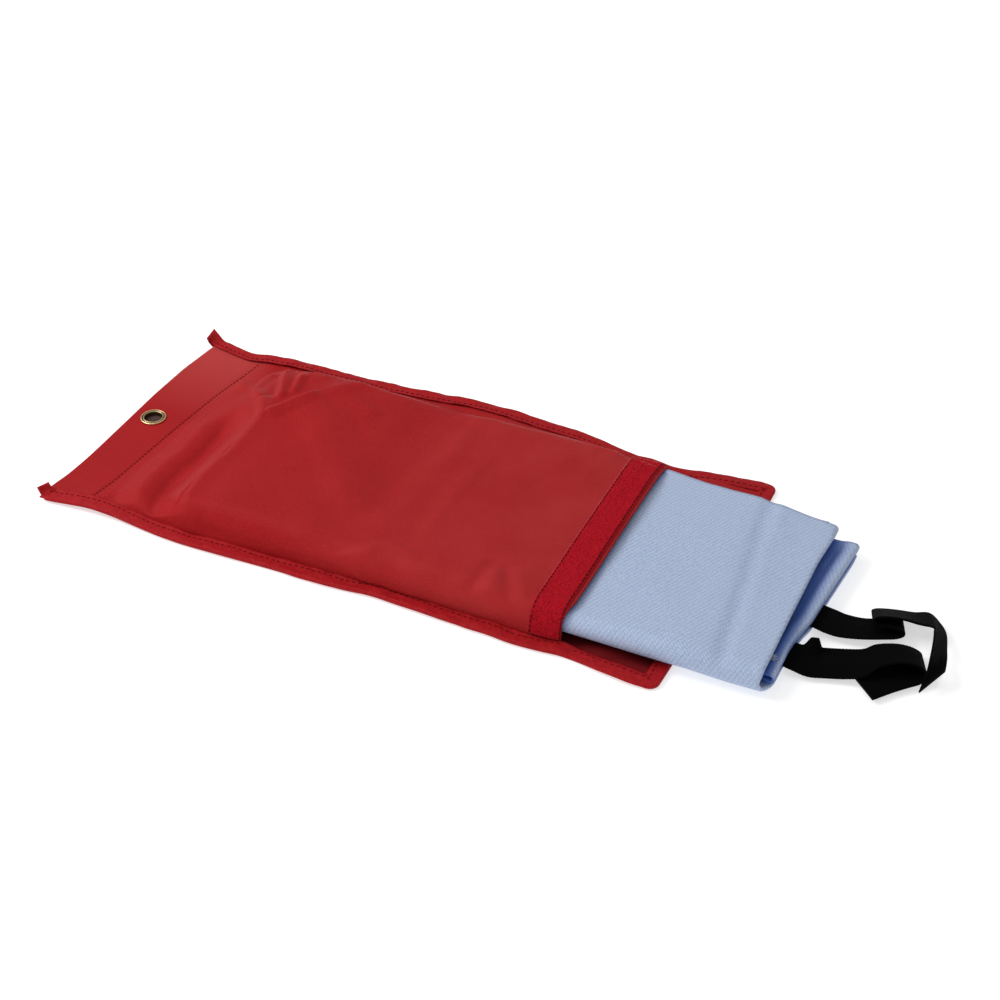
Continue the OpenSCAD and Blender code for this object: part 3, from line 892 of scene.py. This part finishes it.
def panel_surface():
    """The finished front panel: draped, creased, and clear of the stowed blanket."""
    grid = front_grid()
    grid = drape(grid)
    rows, columns = grid.shape[:2]
    r, c = crossed(np.arange(DETAIL * (rows - 1) + 1), np.arange(DETAIL * (columns - 1) + 1))
    grid = sample(grid, r / DETAIL, c / DETAIL)
    x, y = grid[..., 0], grid[..., 1]
    edge = np.minimum(y - near_edge(x), far_edge(x) - y) - BIND_W
    inside = ramp(x, SEAM_X + 1, SEAM_X + 9) * ramp(edge, 0, 5)
    grid[..., 2] = header_slope(x, y, grid[..., 2])
    detail = header_creases(x, y) + crown_creases(x, y)
    detail += 0.35 * soft_noise(x, y, 17, 3) + 0.7 * soft_noise(x, y, 52, 5)
    for _ in range(2):
        detail = soften(detail)
    grid[..., 2] += inside * detail
    # The header's stitches draw the cloth down
    from_seam = np.interp(r / DETAIL, np.arange(rows), PANEL_ROWS) - (SEAM_X - 1.2)
    grid[..., 2] -= 0.45 * bump(from_seam, 0, 1.4)
    return push_out(grid)


def folded_hem(grid):
    """The panel's surface with its hem turned down to meet the back panel."""
    first = grid[0]
    turn = first + np.array([-0.4, 0, -0.3])
    under = first + np.array([0.0, 0, BACK_Z - FLANGE_Z])
    return np.concatenate([[under], [turn], grid])


def pierced_sheet(name, grid, material, *nodes):
    """Nylon sheet with the eyelet's hole cut in it, and the hole's rim drawn in to a circle."""
    middle = (grid[:-1, :-1] + grid[1:, :-1] + grid[:-1, 1:] + grid[1:, 1:]) / 4
    keep = np.hypot(middle[..., 0], middle[..., 1]) > HOLE_R
    reach = np.hypot(grid[..., 0], grid[..., 1])
    rim = (reach < HOLE_R) & (reach > 0.1)
    grid[rim, :2] *= (HOLE_R / reach[rim])[:, None]
    faces = np.array(grid_faces(*grid.shape[:2], keep=keep))
    used, flat = np.unique(faces, return_inverse=True)
    obj = mesh_object(name, grid.reshape(-1, 3)[used], flat.reshape(faces.shape).tolist(), material,
                      grid_uv(grid)[used])
    return dress(thicken(obj, NYLON), "pouch_nylon", *nodes)


# ---- stitches ----


# Place along a stitch and share of its full width, at each of its rings of points
STITCH_RINGS = [(-0.5, 0.15), (-0.42, 0.75), (-0.2, 1.0), (0.2, 1.0), (0.42, 0.75), (0.5, 0.15)]
AROUND = 6


def stitch_points(centre, forward, up, length, width, sink):
    """Rings of points of one stitch, which arches and dips into the cloth at both ends."""
    side = unit(np.cross(up, forward))
    points = []
    for s, fat in STITCH_RINGS:
        arch = centre + forward * s * length + up * (-sink - 0.35 * (2 * s) ** 2 * width)
        for m in range(AROUND):
            a = 2 * math.pi * m / AROUND
            points.append(arch + (side * math.cos(a) + up * (math.sin(a) * 0.7)) * fat * width / 2)
    return points


def stitch_row(name, body, node, pitch, tops, ups=UP, slot="red_thread", length=2.5, width=0.8, sink=0.0):
    """A row of short rounded stitches along a path lying on cloth."""
    run = run_of(tops)
    ups = np.broadcast_to(ups, tops.shape)
    rng = np.random.RandomState(len(name))
    last = (len(STITCH_RINGS) - 1) * AROUND
    stitch = grid_faces(len(STITCH_RINGS), AROUND, around=True)
    stitch += [tuple(range(AROUND)), tuple(reversed(range(last, last + AROUND)))]
    points, faces = [], []
    for k in range(int(run[-1] // pitch)):
        middle = (k + 0.5) * pitch + rng.uniform(-0.15, 0.15)
        start, centre, end = [np.array([np.interp(middle + length * s, run, tops[:, a]) for a in range(3)])
                              for s in (-0.5, 0, 0.5)]
        up = unit(np.array([np.interp(middle, run, ups[:, a]) for a in range(3)]))
        faces += [tuple(len(points) + corner for corner in face) for face in stitch]
        points += stitch_points(centre, unit(end - start), up, length, width, sink)
    row = dress(mesh_object(name, points, faces, slot), slot, node)
    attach(row, body)


def box_path(low, high, z, count):
    """Closed rectangle at height z, between two corners in plan."""
    ring = [(low[0], low[1]), (high[0], low[1]), (high[0], high[1]), (low[0], high[1]), (low[0], low[1])]
    return resample(np.column_stack([ring, np.full(5, z)]), count)


# ---- binding ----


def edge_path():
    """Outer edge of the pouch from near tail to far tail, round the flap: points, raised by their lift."""
    corner_x = FLAP_END - CORNER_R
    near_x, far_x = np.arange(HEM_X + 3.6, corner_x, 2.0), np.arange(HEM_X + 9, corner_x, 2.0)
    near = np.column_stack([near_x, near_edge(near_x)])
    far = np.column_stack([far_x, far_edge(far_x)])
    near_y, far_y = near[-1, 1] + CORNER_R, far[-1, 1] - CORNER_R
    bow = 0.8
    plan = np.vstack([
        near,
        arc((corner_x, near_y), CORNER_R, -90, 0, 9),
        [(FLAP_END + bow * math.sin(math.pi * t), near_y + (far_y - near_y) * t)
         for t in np.linspace(0.02, 0.98, 70)],
        arc((corner_x, far_y), CORNER_R, 0, 90, 9),
        far[::-1],
    ])
    height = lift(plan[:, 0], plan[:, 1])
    plan[:, 0] += flap_slant(plan[:, 0], plan[:, 1])
    return np.column_stack([plan, height])


def tail(base, direction, length, rise_deg):
    """Loose end of the binding: points that leave base along direction and curl upwards."""
    points = [np.array(base, float)]
    forward = unit(np.array([direction[0], direction[1], 0.0]))
    steps = 10
    for k in range(1, steps + 1):
        angle = math.radians(rise_deg) * smooth(k / steps * 1.6)
        way = forward * math.cos(angle) + UP * math.sin(angle)
        points.append(points[-1] + length / steps * way)
    return np.array(points[1:])


def binding_columns(count, top):
    """Depth in from the edge and height of each column: underneath, round the fold, then on top."""
    turn = (top - BIND_LOW_Z) / 2
    shares = np.linspace(1, 0.16, 8)
    columns = [(share * BIND_W, np.full(count, BIND_LOW_Z)) for share in shares]
    columns += [(turn * (1 - math.cos(a)) + 0.02, BIND_LOW_Z + turn * (1 + math.sin(a)))
                for a in map(math.radians, np.linspace(-90, 90, 7))]
    return columns + [(share * BIND_W, top) for share in shares[::-1]]


def binding_grid():
    """Folded binding tape swept along the pouch's edge, with a loose tail at each end."""
    path = edge_path()
    near_tail = tail(path[0], (-1, 0.38), TAIL - 2, 50)
    far_tail = tail(path[-1], (-1, 0.3), TAIL + 3, 34)
    path = np.vstack([near_tail[::-1], path, far_tail])
    path = resample(path, int(len(path) * 1.25))
    tangent = unit(np.gradient(path, axis=0))
    inward = np.cross(UP, unit(tangent * (1, 1, 0)))
    up = unit(np.cross(tangent, inward))
    run = run_of(path)
    on_flap = ramp(path[:, 0], MOUTH_X - 2, MOUTH_X + 6)
    on_tail = 1 - ramp(path[:, 0], HEM_X - 3, HEM_X + 2)
    columns = binding_columns(len(path), BIND_TOP_Z - 0.7 * on_flap - 0.9 * on_tail)
    grid = np.zeros((len(path), len(columns), 3))
    far_tip = on_tail * (path[:, 1] > 0)
    flare = 1 + on_tail * np.where(path[:, 1] > 0, 0.3, -0.15)
    # Along the fold the width wanders, the top puffs up and its last two columns lift or lie down
    for j, (depth, height) in enumerate(columns):
        depth = depth * flare
        depth = depth + 0.5 * soft_noise(run, j * 3.0, 15, 21) * (1 if j > 9 else 0.2)
        puff = 0.5 + 0.5 * math.sin(math.pi * min(max((j - 11) / 10, 0), 1)) if j > 10 else 0
        crumple = 0.45 * soft_noise(run, j * 2.0, 9, 22) + 0.25 * soft_noise(run, j * 1.4, 4.5, 23) + 0.25
        lip = {len(columns) - 1: 0.7, len(columns) - 2: 0.35}.get(j, 0)
        lip = lip * ((1 - on_flap) * (0.6 + 0.6 * soft_noise(run, 0, 7, 24)) - 0.6 * on_flap)
        raised = height + puff * crumple + lip
        grid[:, j] = path + inward * depth[:, None] + up * raised[:, None]
        grid[:, j, 0] += far_tip * depth / BIND_W * 4
    return grid


# ---- tapes ----


def rows_at(x):
    """Fractional row of the finished front panel at x."""
    return np.interp(x, PANEL_ROWS, DETAIL * np.arange(len(PANEL_ROWS)))


def pile_tape(name, body, base, normals, thick, slot, node, pile):
    """Closed strip of tape on a surface: flat woven edges with raised pile between them.

    Its thickness is thick, give or take pile.
    """
    rows, columns = base.shape[:2]
    share = np.linspace(0, 1, rows)[:, None]
    middle = ramp(share, 0.0, 0.09) * (1 - ramp(share, 0.91, 1.0))
    i, j = crossed(np.arange(rows), np.arange(columns))
    fuzz = np.random.RandomState(31).uniform(-1, 1, (rows, columns))
    height = thick * (0.45 + 0.55 * middle) + pile * middle * fuzz + 0.05 * soft_noise(i, j, 7, 33)
    top = base + normals * height[..., None]
    low = base + normals * 0.05
    ring = np.concatenate([top, low[::-1]], axis=0)
    faces = grid_faces(2 * rows, columns)
    last = (2 * rows - 1) * columns
    faces += [(last + c, c, c + 1, last + c + 1) for c in range(columns - 1)]
    for c, flip in ((0, True), (columns - 1, False)):
        for r in range(rows - 1):
            quad = [r * columns + c, (r + 1) * columns + c,
                    (2 * rows - 2 - r) * columns + c, (2 * rows - 1 - r) * columns + c]
            faces.append(tuple(quad[::-1] if flip else quad))
    obj = mesh_object(name, ring.reshape(-1, 3), faces, slot, grid_uv(ring))
    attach(dress(obj, slot, node), body)


def build_loop_tape(panel):
    """Loop tape across the panel just inside its mouth, and its two rows of stitches."""
    columns = np.linspace(FIRST_COLUMN + 2.4, LAST_COLUMN - 2.4, 300)
    r, c = crossed(np.linspace(rows_at(TAPE_LOW[0]), rows_at(TAPE_HIGH[0]), 34), columns)
    surface = sample(panel, r, c)
    facing = unit(sample(grid_normals(panel), r, c))
    base = surface + facing * NYLON / 2
    pile_tape("loop_tape_pile", "pouch", base, facing, PILE_T, "loop_pile", "loop_tape", 0.35)
    for k, row in enumerate((2, 31)):
        tops = surface[row] + facing[row] * (NYLON / 2 + PILE_T + 0.05)
        stitch_row(f"loop_tape_stitches_{k}", "pouch", "loop_tape_stitching", 2.9, tops, facing[row])


def build_hook_tape():
    """Hook tape on the flap's inner face, and its box of stitches."""
    gx, gy = crossed(np.linspace(HOOK_LOW[0], HOOK_HIGH[0], 30), np.linspace(HOOK_LOW[1], HOOK_HIGH[1], 150))
    base = np.stack([gx, gy, np.full_like(gx, HOOK_LOW[2] + 0.1)], axis=2)
    normals = np.broadcast_to(UP, base.shape)
    pile_tape("hook_tape_pile", "flap", base, normals, PILE_T - 0.2, "hook_pile", "hook_tape", 0.2)
    edge = 1.2
    path = box_path(HOOK_LOW + edge, HOOK_HIGH - edge, HOOK_LOW[2] + PILE_T * 0.75, 200)
    stitch_row("hook_tape_stitches", "flap", "hook_tape_stitching", 3.2, path)


# ---- pouch ----


def build_pouch():
    """Cloth of the pouch and flap, their binding, tapes and stitches, and the eyelet's finish."""
    panel = panel_surface()
    backing = pierced_sheet("back_and_flap_cloth", back_grid(), "nylon_with_painted_shade", "back_panel", "closing_flap")
    front = pierced_sheet("front_cloth", folded_hem(panel), "pouch_nylon", "front_panel")
    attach(front, "pouch")
    bind = binding_grid()
    binding = sheet("edge_binding", bind, "binding_tape", 0.5)
    dress(binding, "binding_tape", "near_binding", "far_binding", "flap_binding")
    for cloth in (backing, binding):
        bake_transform(cloth)
    build_binding_stitches(bind)
    build_header_stitches(panel)
    build_loop_tape(panel)
    build_hook_tape()
    for node in ("eyelet_barrel", "eyelet_washer"):
        brass = frame["nodes"][node]
        brass.data.materials.clear()
        brass.data.materials.append(MATERIALS["eyelet_brass"])


def build_binding_stitches(bind):
    """Stitch rows on the binding: one along each side of the pouch and one round the flap."""
    column = bind.shape[1] - 3
    tops = (bind[:, column] + bind[:, column - 1]) / 2
    ups = -grid_normals(bind)[:, column]
    ups = ups * np.sign(ups[:, 2:3] + 1e-6)
    tops = tops + ups * 0.42
    middle = len(tops) // 2
    order = np.arange(len(tops))
    on_pouch = (tops[:, 0] > HEM_X + 2) & (tops[:, 0] < MOUTH_X)
    for side, body, chosen in (("near", "pouch", on_pouch & (order < middle)),
                               ("far", "pouch", on_pouch & (order > middle)),
                               ("flap", "flap", tops[:, 0] > FOLD_X + 3)):
        stitch_row(f"{side}_binding_stitches", body, f"{side}_binding_stitching", 3.6,
                   tops[chosen], ups[chosen], width=0.6, sink=0.06)


def build_header_stitches(panel):
    """Row of stitches along the header seam."""
    columns = np.linspace(FIRST_COLUMN + 1, LAST_COLUMN + DETAIL, 190)
    tops = sample(panel, rows_at(SEAM_X - 1.2), columns) + UP * NYLON / 2
    stitch_row("header_stitches", "pouch", "header_stitching", 2.9, tops, width=1.0)


# ---- blanket ----


def blanket_near(x):
    """Near fold of the outer leaf."""
    return CLOTH_LOW[1] + 2.5 * ramp(x, MOUTH_X + 40, STACK_END)


def blanket_far(x):
    """Far edge of the outer leaf's top."""
    stray = [(MOUTH_X - 20, 0), (MOUTH_X, 0), (MOUTH_X + 33, -2.8), (MOUTH_X + 64, -2.8), (TOP_END, -8)]
    return CLOTH_HIGH[1] + along(stray, x)


def low_end(y):
    """X of the lower layers' ends, which slant back towards the near fold."""
    slant = [(-78, -14.5), (-72, -10.6), (-45, -10), (-26, -7.4), (-20, -5.6), (8, -3.6), (50, 0)]
    return along(slant, y, 3.0) + STACK_END


def droop(x):
    """How far the drawn-out end has settled towards the floor."""
    return 1.7 * ramp(x, FLAP_END, FLAP_END + 34)


def wrap_section(count):
    """Outer leaf's section from its top, round the near fold, to its bottom.

    Each point is a distance from the near side and a height.
    """
    top, bottom = STACK_TOP - PLY / 2, STACK_LOW + PLY / 2
    radius = (top - bottom) / 2
    path = np.vstack([
        [(STACK_W, top), (STACK_W * 0.6, top), (radius + 14, top)],
        arc((radius + 1.5, bottom + radius), radius, 90, 270, 15),
        [(radius + 14, bottom), (STACK_W * 0.6, bottom), (STACK_W - 5, bottom)],
    ])
    return resample(path, count)


def leaf_end(y, height):
    """X of the outer leaf's end and half the depth of its turned-in part, at each point of its section."""
    turn = 0.65 + (0.4 + 1.3 * ramp(y, 48, 60)) * smooth((height - 0.45) / 0.5)
    low = 1 - smooth((height - 0.12) / 0.34)
    waist = 0.8 * bump(height, 0.5, 0.45)
    end = (TOP_END - 2 + 1.8 * ramp(y, 20, 56) - waist) * (1 - low) + low_end(y) * low
    return end, turn


def top_relief(x, y):
    """Height of the outer leaf's top: a sag beside the turned-in end, and slight unevenness."""
    turned_in = ramp(x, TOP_END - 42, TOP_END - 34)
    sag = -1.1 * bump(x + 0.12 * (y - 55), TOP_END - 40, 7.5) + 0.2 * turned_in
    soft = 0.45 * soft_noise(x, y, 34, 41) + 0.18 * soft_noise(x, y, 9, 42) - 0.3
    return np.clip(sag + soft, -1.2, 0.3)


def outer_leaf():
    """Outer leaf: wraps the near side, with its end turned in."""
    count = 120
    section = wrap_section(count)
    normal = unit(np.stack([-np.gradient(section[:, 1]), np.gradient(section[:, 0])], axis=1))
    height = (section[:, 1] - section[:, 1].min()) / np.ptp(section[:, 1])
    end, turn = leaf_end(CLOTH_LOW[1] + section[:, 0], height)
    straight = [np.arange(CLOTH_LOW[0], TOP_END - 50, 4.0), np.arange(TOP_END - 50, TOP_END - 3, 1.6)]
    rows = [(np.full(count, x), np.zeros(count)) for x in np.concatenate(straight)]
    rows += [(end - turn + turn * math.sin(angle), turn * (1 - math.cos(angle)))
             for angle in np.linspace(0, math.pi, 11)]
    rows += [(end - turn - step, 2 * turn) for step in np.linspace(2, 38, 14)]
    grid = np.zeros((len(rows), count, 3))
    for i, (x, inward) in enumerate(rows):
        x = np.minimum(x, end)
        share = (section[:, 0] + normal[:, 0] * inward) / STACK_W
        z = section[:, 1] + normal[:, 1] * inward
        near, far = blanket_near(x), blanket_far(x)
        grid[i] = np.stack([x, near + share * (far - near), z], axis=1)
    x, y = grid[..., 0], grid[..., 1]
    grid[..., 2] += smooth((height - 0.6) / 0.35)[None, :] * top_relief(x, y) - droop(x)
    return grid


def end_fold(shift, y_near, y_far, low, high, start, seed, dip=0.0):
    """Folded leaf whose closed end is a rounded nose that follows the lower layers' slant.

    Behind the nose its upper ply sinks by dip.
    """
    radius = (high - low) / 2
    columns = 60
    y = np.linspace(y_near, y_far, columns)
    tip = low_end(y) + shift
    sinking = dip * (1 - 0.6 * ramp(y, 36, 52))
    top_rows = [np.linspace(0, 0.9, 26, endpoint=False), np.linspace(0.9, 1, 12, endpoint=False)]
    rows = []
    for t in np.concatenate(top_rows):
        x = start + (tip - radius - start) * t
        rows.append((x, high - sinking * ramp(tip - x, radius + 2.5, radius + 8)))
    rows += [(tip - radius + radius * math.sin(angle), low + radius * (1 + math.cos(angle)))
             for angle in np.linspace(0, math.pi, 11)]
    rows += [(tip - radius - t, low) for t in np.linspace(1.2, 60, 20)]
    grid = np.zeros((len(rows), columns, 3))
    for i, (x, z) in enumerate(rows):
        grid[i] = np.stack([x, y, z + 0.22 * soft_noise(x, y, 16, seed) - droop(x)], axis=1)
    return grid


def side_fold(top, low, y_near, y_far, start, end):
    """Leaf pleated across the pouch: runs at the heights top and low, joined at the far side."""
    radius = (low - top) / 2
    turn = arc((y_far, top + radius), radius, -90, 90, 7)
    path = resample(np.vstack([[(y_near, top)], turn, [(y_near, low)]]), 88)
    x, k = crossed(np.linspace(start, end, 40), np.arange(len(path)))
    y = path[k, 0] + 0.5 * soft_noise(x, path[k, 1], 30, 57)
    return np.stack([x, y, path[k, 1] - droop(x)], axis=2)


def build_blanket():
    """Folded blanket: outer leaf, inner bundle and leaf, top pleats, hem stitches and frayed hem."""
    top = STACK_TOP - PLY / 2
    near, far = CLOTH_LOW[1] + 12, CLOTH_HIGH[1] - 2
    low = STRAP_Z + STRAP_T / 2 + PLY / 2 + 0.15
    mid = low + 3.3
    start = CLOTH_LOW[0]
    bundle = end_fold(0.4, near, far - 9, low, mid + 0.9, start + 4, 51, dip=2.6)
    leaf = end_fold(-4, near + 3, far - 11, low + 1.0, low + 1.6, start + 8, 52)
    pleats = side_fold(top - 1.5, top - 2.9, near + 4, far - 2.5, start + 4, TOP_END - 6)
    for name, grid, material, thick in (("outer_leaf", outer_leaf(), "glass_cloth", PLY),
                                        ("inner_bundle", bundle, "glass_cloth_deep_painted_shade", PLY),
                                        ("inner_leaf", leaf, "glass_cloth_deep_painted_shade", PLY * 0.8),
                                        ("top_pleats", pleats, "glass_cloth_deep_painted_shade", PLY * 0.8)):
        piece = sheet(f"blanket_{name}", grid, material, thick)
        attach(dress(piece, "glass_cloth", "blanket_cloth"), "blanket")
    x = TOP_END - 12
    y = np.linspace(near + 4, far - 8, 90)
    tops = np.column_stack([np.full(90, x), y, np.full(90, mid + PLY / 2 + 0.15 - droop(x))])
    stitch_row("blanket_hem_stitches", "blanket", "blanket_hem_stitching", 3.2, tops, slot="white_thread")
    build_frayed_corner()


def build_frayed_corner():
    """Short loose fibres at the near end of the turned-in hem."""
    rng = np.random.RandomState(61)
    origin = np.array([TOP_END - 2.0, CLOTH_LOW[1] + 24.5, STACK_LOW + 7.5])
    points, faces = [], []
    fibres = 46
    for _ in range(fibres):
        base = origin + rng.uniform((-1.5, -1.8, -1.0), (1.0, 1.8, 1.0))
        tip = base + rng.uniform((0.8, -1.6, -1.0), (2.6, 1.2, 1.6))
        bend = (base + tip) / 2 + rng.uniform(-0.4, 0.4, 3)
        side = unit(rng.uniform(-1, 1, 3)) * 0.16
        first = len(points)
        for p, w in ((base, 1.0), (bend, 0.9), (tip, 0.35)):
            lean = np.cross(side, unit(tip - base))
            points += [p + side * w, p + lean * w, p - side * w]
        for r in range(2):
            for m in range(3):
                here, q = first + 3 * r, (m + 1) % 3
                faces.append((here + m, here + q, here + 3 + q, here + 3 + m))
        faces += [(first, first + 2, first + 1), (first + 6, first + 7, first + 8)]
    tuft = mesh_object("blanket_frayed_hem", points, faces, "white_thread")
    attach(tuft, "blanket")


# ---- straps ----


def webbing_loop():
    """Section of the webbing, with rounded selvedges, as shares of its half width and thickness."""
    flat = np.linspace(-0.93, 0.93, 14)
    loop = [(w, 0.5) for w in flat] + [(0.985, 0.3), (1.0, 0.0), (0.985, -0.3)]
    return loop + [(w, -0.5) for w in flat[::-1]] + [(-0.985, -0.3), (-1.0, 0.0), (-0.985, 0.3)]


def ribbon(name, y, beyond, side, curl_x=None):
    """Webbing swept along a curve, its selvedges nipped by the weft.

    The curve starts at the strap's hidden root, at y, and runs on through the points beyond, whose X is
    counted from the swing's axis. At curl_x the selvedge on the side vectors' side curls up.
    """
    hidden = [(STRAP_X + back, y, STRAP_Z - droop(STRAP_X + back)) for back in (-38, -20)]
    spine = rounded(np.vstack([hidden, np.array(beyond) + (STRAP_X, 0, 0)]))
    step, weft, nip_depth, rib_pitch = 0.55, 1.7, 0.22, 2.4
    joined = resample(np.hstack([spine, unit(rounded(side)) * 0.01]), int(run_of(spine)[-1] / step))
    spine, side = joined[:, :3], unit(joined[:, 3:])
    tangent = unit(np.gradient(spine, axis=0))
    normal = unit(np.cross(tangent, side))
    rows = len(spine)
    run = np.arange(rows) * step
    nip = nip_depth * np.abs(np.sin(math.pi * run / weft))
    loop = webbing_loop()
    grid = np.zeros((rows, len(loop), 3))
    for j, (w, h) in enumerate(loop):
        half = STRAP_W / 2 - nip * (abs(w) > 0.9)
        rib = 0.05 * math.cos(math.pi * w * STRAP_W / rib_pitch)
        grid[:, j] = spine + side * (w * half)[:, None] + normal * (h * STRAP_T + math.copysign(rib, h))
        if curl_x is not None:
            x = spine[:, 0]
            curl = ramp(x, curl_x - 8, curl_x - 1.5) * (1 - ramp(x, curl_x + 2.5, curl_x + 5.5))
            grid[:, j] += (curl * max(w - 0.3, 0) ** 1.3)[:, None] * np.array([0, -1.5, 12.0])
    faces = grid_faces(rows, len(loop), around=True)
    last = (rows - 1) * len(loop)
    faces += [tuple(reversed(range(len(loop)))), tuple(range(last, last + len(loop)))]
    uvs = np.stack(crossed(run, [w * STRAP_W / 2 for w, _ in loop]), axis=2).reshape(-1, 2)
    return mesh_object(name, grid.reshape(-1, 3), faces, "black_webbing", uvs)


def near_strap():
    """Near strap: out along the floor, up to a crest, over, and tucked back under itself."""
    beyond = [(-7, -46, 4.4), (1, -46.7, 4.6), (7.6, -44.7, 4.6), (19.1, -41, 5.2), (27.1, -37.7, 6.2),
              (32.5, -32.4, 8.6), (40, -27.8, 9.4), (46.5, -25, 8.8), (52.3, -23.6, 6.8),
              (55.2, -24.9, 4.6), (52.9, -28.5, 3.4), (45.9, -35, 3), (38.4, -42.9, 2.9),
              (30.8, -52.2, 2.9)]
    side = [(0, 1, 0), (0, 1, 0), (0, 1, 0.05), (-0.15, 0.97, 0.18), (-0.3, 0.94, 0.18), (-0.29, 0.94, 0.16),
            (-0.28, 0.96, 0.1), (-0.31, 0.95, -0.08), (-0.26, 0.95, -0.18), (-0.24, 0.94, -0.24),
            (-0.29, 0.91, -0.25), (-0.35, 0.88, -0.12), (-0.45, 0.85, 0), (-0.6, 0.77, 0), (-0.68, 0.7, 0),
            (-0.72, 0.68, 0)]
    return ribbon("near_pull_strap_webbing", NEAR_STRAP_Y, beyond, side, curl_x=STRAP_X + 2)


def far_strap():
    """Far strap: out flat, doubled back on itself, then leaning round to a cut end."""
    beyond = [(-6, -10, 4.5), (2, -11.5, 4.5), (9.2, -11.5, 4), (19.7, -9.2, 4), (29.9, -4.5, 4.1),
              (34.6, -1.9, 4.2), (37.7, 0.6, 4.9), (36.1, 1, 6.3), (30.7, 0, 6.8), (24.2, -2, 7),
              (22, -1.7, 8.5), (25.3, 1, 8.9), (34, 5.1, 7.8), (43.5, 6.8, 7.3), (51, 6.6, 8.9),
              (55, 3, 8.4), (58.2, -3.9, 8.1), (60.5, -15.9, 7.6), (61.8, -25.5, 7.3), (62.3, -37.4, 6.9)]
    side = [(0, 1, 0), (0, 1, 0), (0, 1, 0), (0.0, 1, 0.02), (-0.05, 1, -0.03), (-0.17, 0.98, -0.12),
            (-0.25, 0.95, -0.12), (-0.3, 0.93, -0.12), (-0.3, 0.93, -0.15), (-0.3, 0.92, -0.2),
            (-0.28, 0.92, -0.25), (-0.25, 0.9, -0.35), (-0.22, 0.88, -0.42), (-0.25, 0.86, -0.46),
            (-0.33, 0.83, -0.45), (-0.31, 0.87, -0.39), (-0.3, 0.9, -0.31), (-0.01, 0.9, -0.43),
            (0.2, 0.88, -0.44), (0.29, 0.85, -0.42), (0.35, 0.9, -0.2), (0.46, 0.85, 0.22)]
    return ribbon("far_pull_strap_webbing", FAR_STRAP_Y, beyond, side)


def build_straps():
    """Both pull straps, each one length of webbing from its sewn root to its tip."""
    for strap, side_name in ((near_strap(), "near"), (far_strap(), "far")):
        dress(strap, "black_webbing", f"{side_name}_strap_root", f"{side_name}_pull_strap")
        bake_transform(strap)
        build_root_stitches(side_name)


def build_root_stitches(side_name):
    """Box seam over a strap's root."""
    low, high = box_mm(f"{side_name}_root_stitching")
    path = box_path(low, high, STRAP_Z + STRAP_T / 2 - droop(low[0]), 120)
    stitch_row(f"{side_name}_root_stitches", "blanket", f"{side_name}_root_stitching", 2.4, path,
               slot="black_thread", length=1.9, width=0.5)


# ---- stage ----

# Angles in degrees, distances in metres, lens in millimetres
CAMERA_AZIMUTH = 24.94
CAMERA_ELEVATION = 37.25
CAMERA_DISTANCE = 0.997
CAMERA_AIM = Vector((0.231, 0.0165, 0.0))
CAMERA_LENS = 61.2


def build_floor():
    """Floor under the pouch. It sinks when the flap folds down, so that the flap never cuts it."""
    size = 6000
    gap = 0.2 * MM
    flap_reach = (FLAP_END - FOLD_X + 3) * MM
    corners = [(-size, -size, 0), (size, -size, 0), (size, size, 0), (-size, size, 0)]
    floor = mesh_object("floor", corners, [(0, 1, 2, 3)], "pale_floor")
    floor.location.z = -gap
    sink = floor.driver_add("location", 2).driver
    turn = sink.variables.new()
    turn.name = "turn"
    turn.type = "TRANSFORMS"
    turn.targets[0].id = frame["bodies"]["flap"]
    turn.targets[0].transform_type = "ROT_Y"
    sink.expression = f"-{gap:.4f} - {flap_reach:.4f} * abs(sin(turn)) - (0.003 if abs(turn) > 0.01 else 0)"


def area_light(name, place, size, power):
    """Soft white square light that faces the pouch; sizes and places in metres."""
    data = bpy.data.lights.new(name, "AREA")
    data.size = size
    data.energy = power
    light = bpy.data.objects.new(name, data)
    light.location = place
    light.rotation_euler = (Vector(place) - Vector((0.23, 0, 0))).to_track_quat("Z", "Y").to_euler()
    bpy.context.scene.collection.objects.link(light)


def build_surround():
    """Pale surround that lights the pouch at the strength low and is seen at the strength high."""
    low, high = 0.45, 0.9
    world = bpy.data.worlds.new("studio")
    world.use_nodes = True
    nodes, links = world.node_tree.nodes, world.node_tree.links
    surround = nodes["Background"]
    surround.inputs["Color"].default_value = rgb(1, 1, 1)
    seen = nodes.new("ShaderNodeLightPath").outputs["Is Camera Ray"]
    strength = nodes.new("ShaderNodeMapRange")
    strength.inputs["To Min"].default_value = low
    strength.inputs["To Max"].default_value = high
    links.new(seen, strength.inputs["Value"])
    links.new(strength.outputs[0], surround.inputs["Strength"])
    bpy.context.scene.world = world


def build_studio():
    """Soft key light from the header's side, weaker ones from the front and above, and the surround."""
    build_surround()
    area_light("key", (-0.78, -0.22, 1.0), 0.7, 14)
    area_light("front", (0.45, -1.2, 0.7), 1.0, 2.6)
    area_light("top", (0.3, 0.5, 1.4), 1.2, 3)
    bpy.context.scene.view_settings.view_transform = "Standard"
    bpy.context.scene.view_settings.look = "None"


def build_camera():
    """Camera at the photo's angle."""
    data = bpy.data.cameras.new("camera")
    data.lens = CAMERA_LENS
    data.sensor_width = 36
    camera = bpy.data.objects.new("camera", data)
    turn = Euler((math.radians(90 - CAMERA_ELEVATION), 0, math.radians(CAMERA_AZIMUTH)))
    camera.rotation_euler = turn
    camera.location = CAMERA_AIM + turn.to_matrix() @ Vector((0, 0, CAMERA_DISTANCE))
    bpy.context.scene.collection.objects.link(camera)
    bpy.context.scene.camera = camera


build_pouch()
build_blanket()
build_straps()
build_floor()
build_studio()
build_camera()
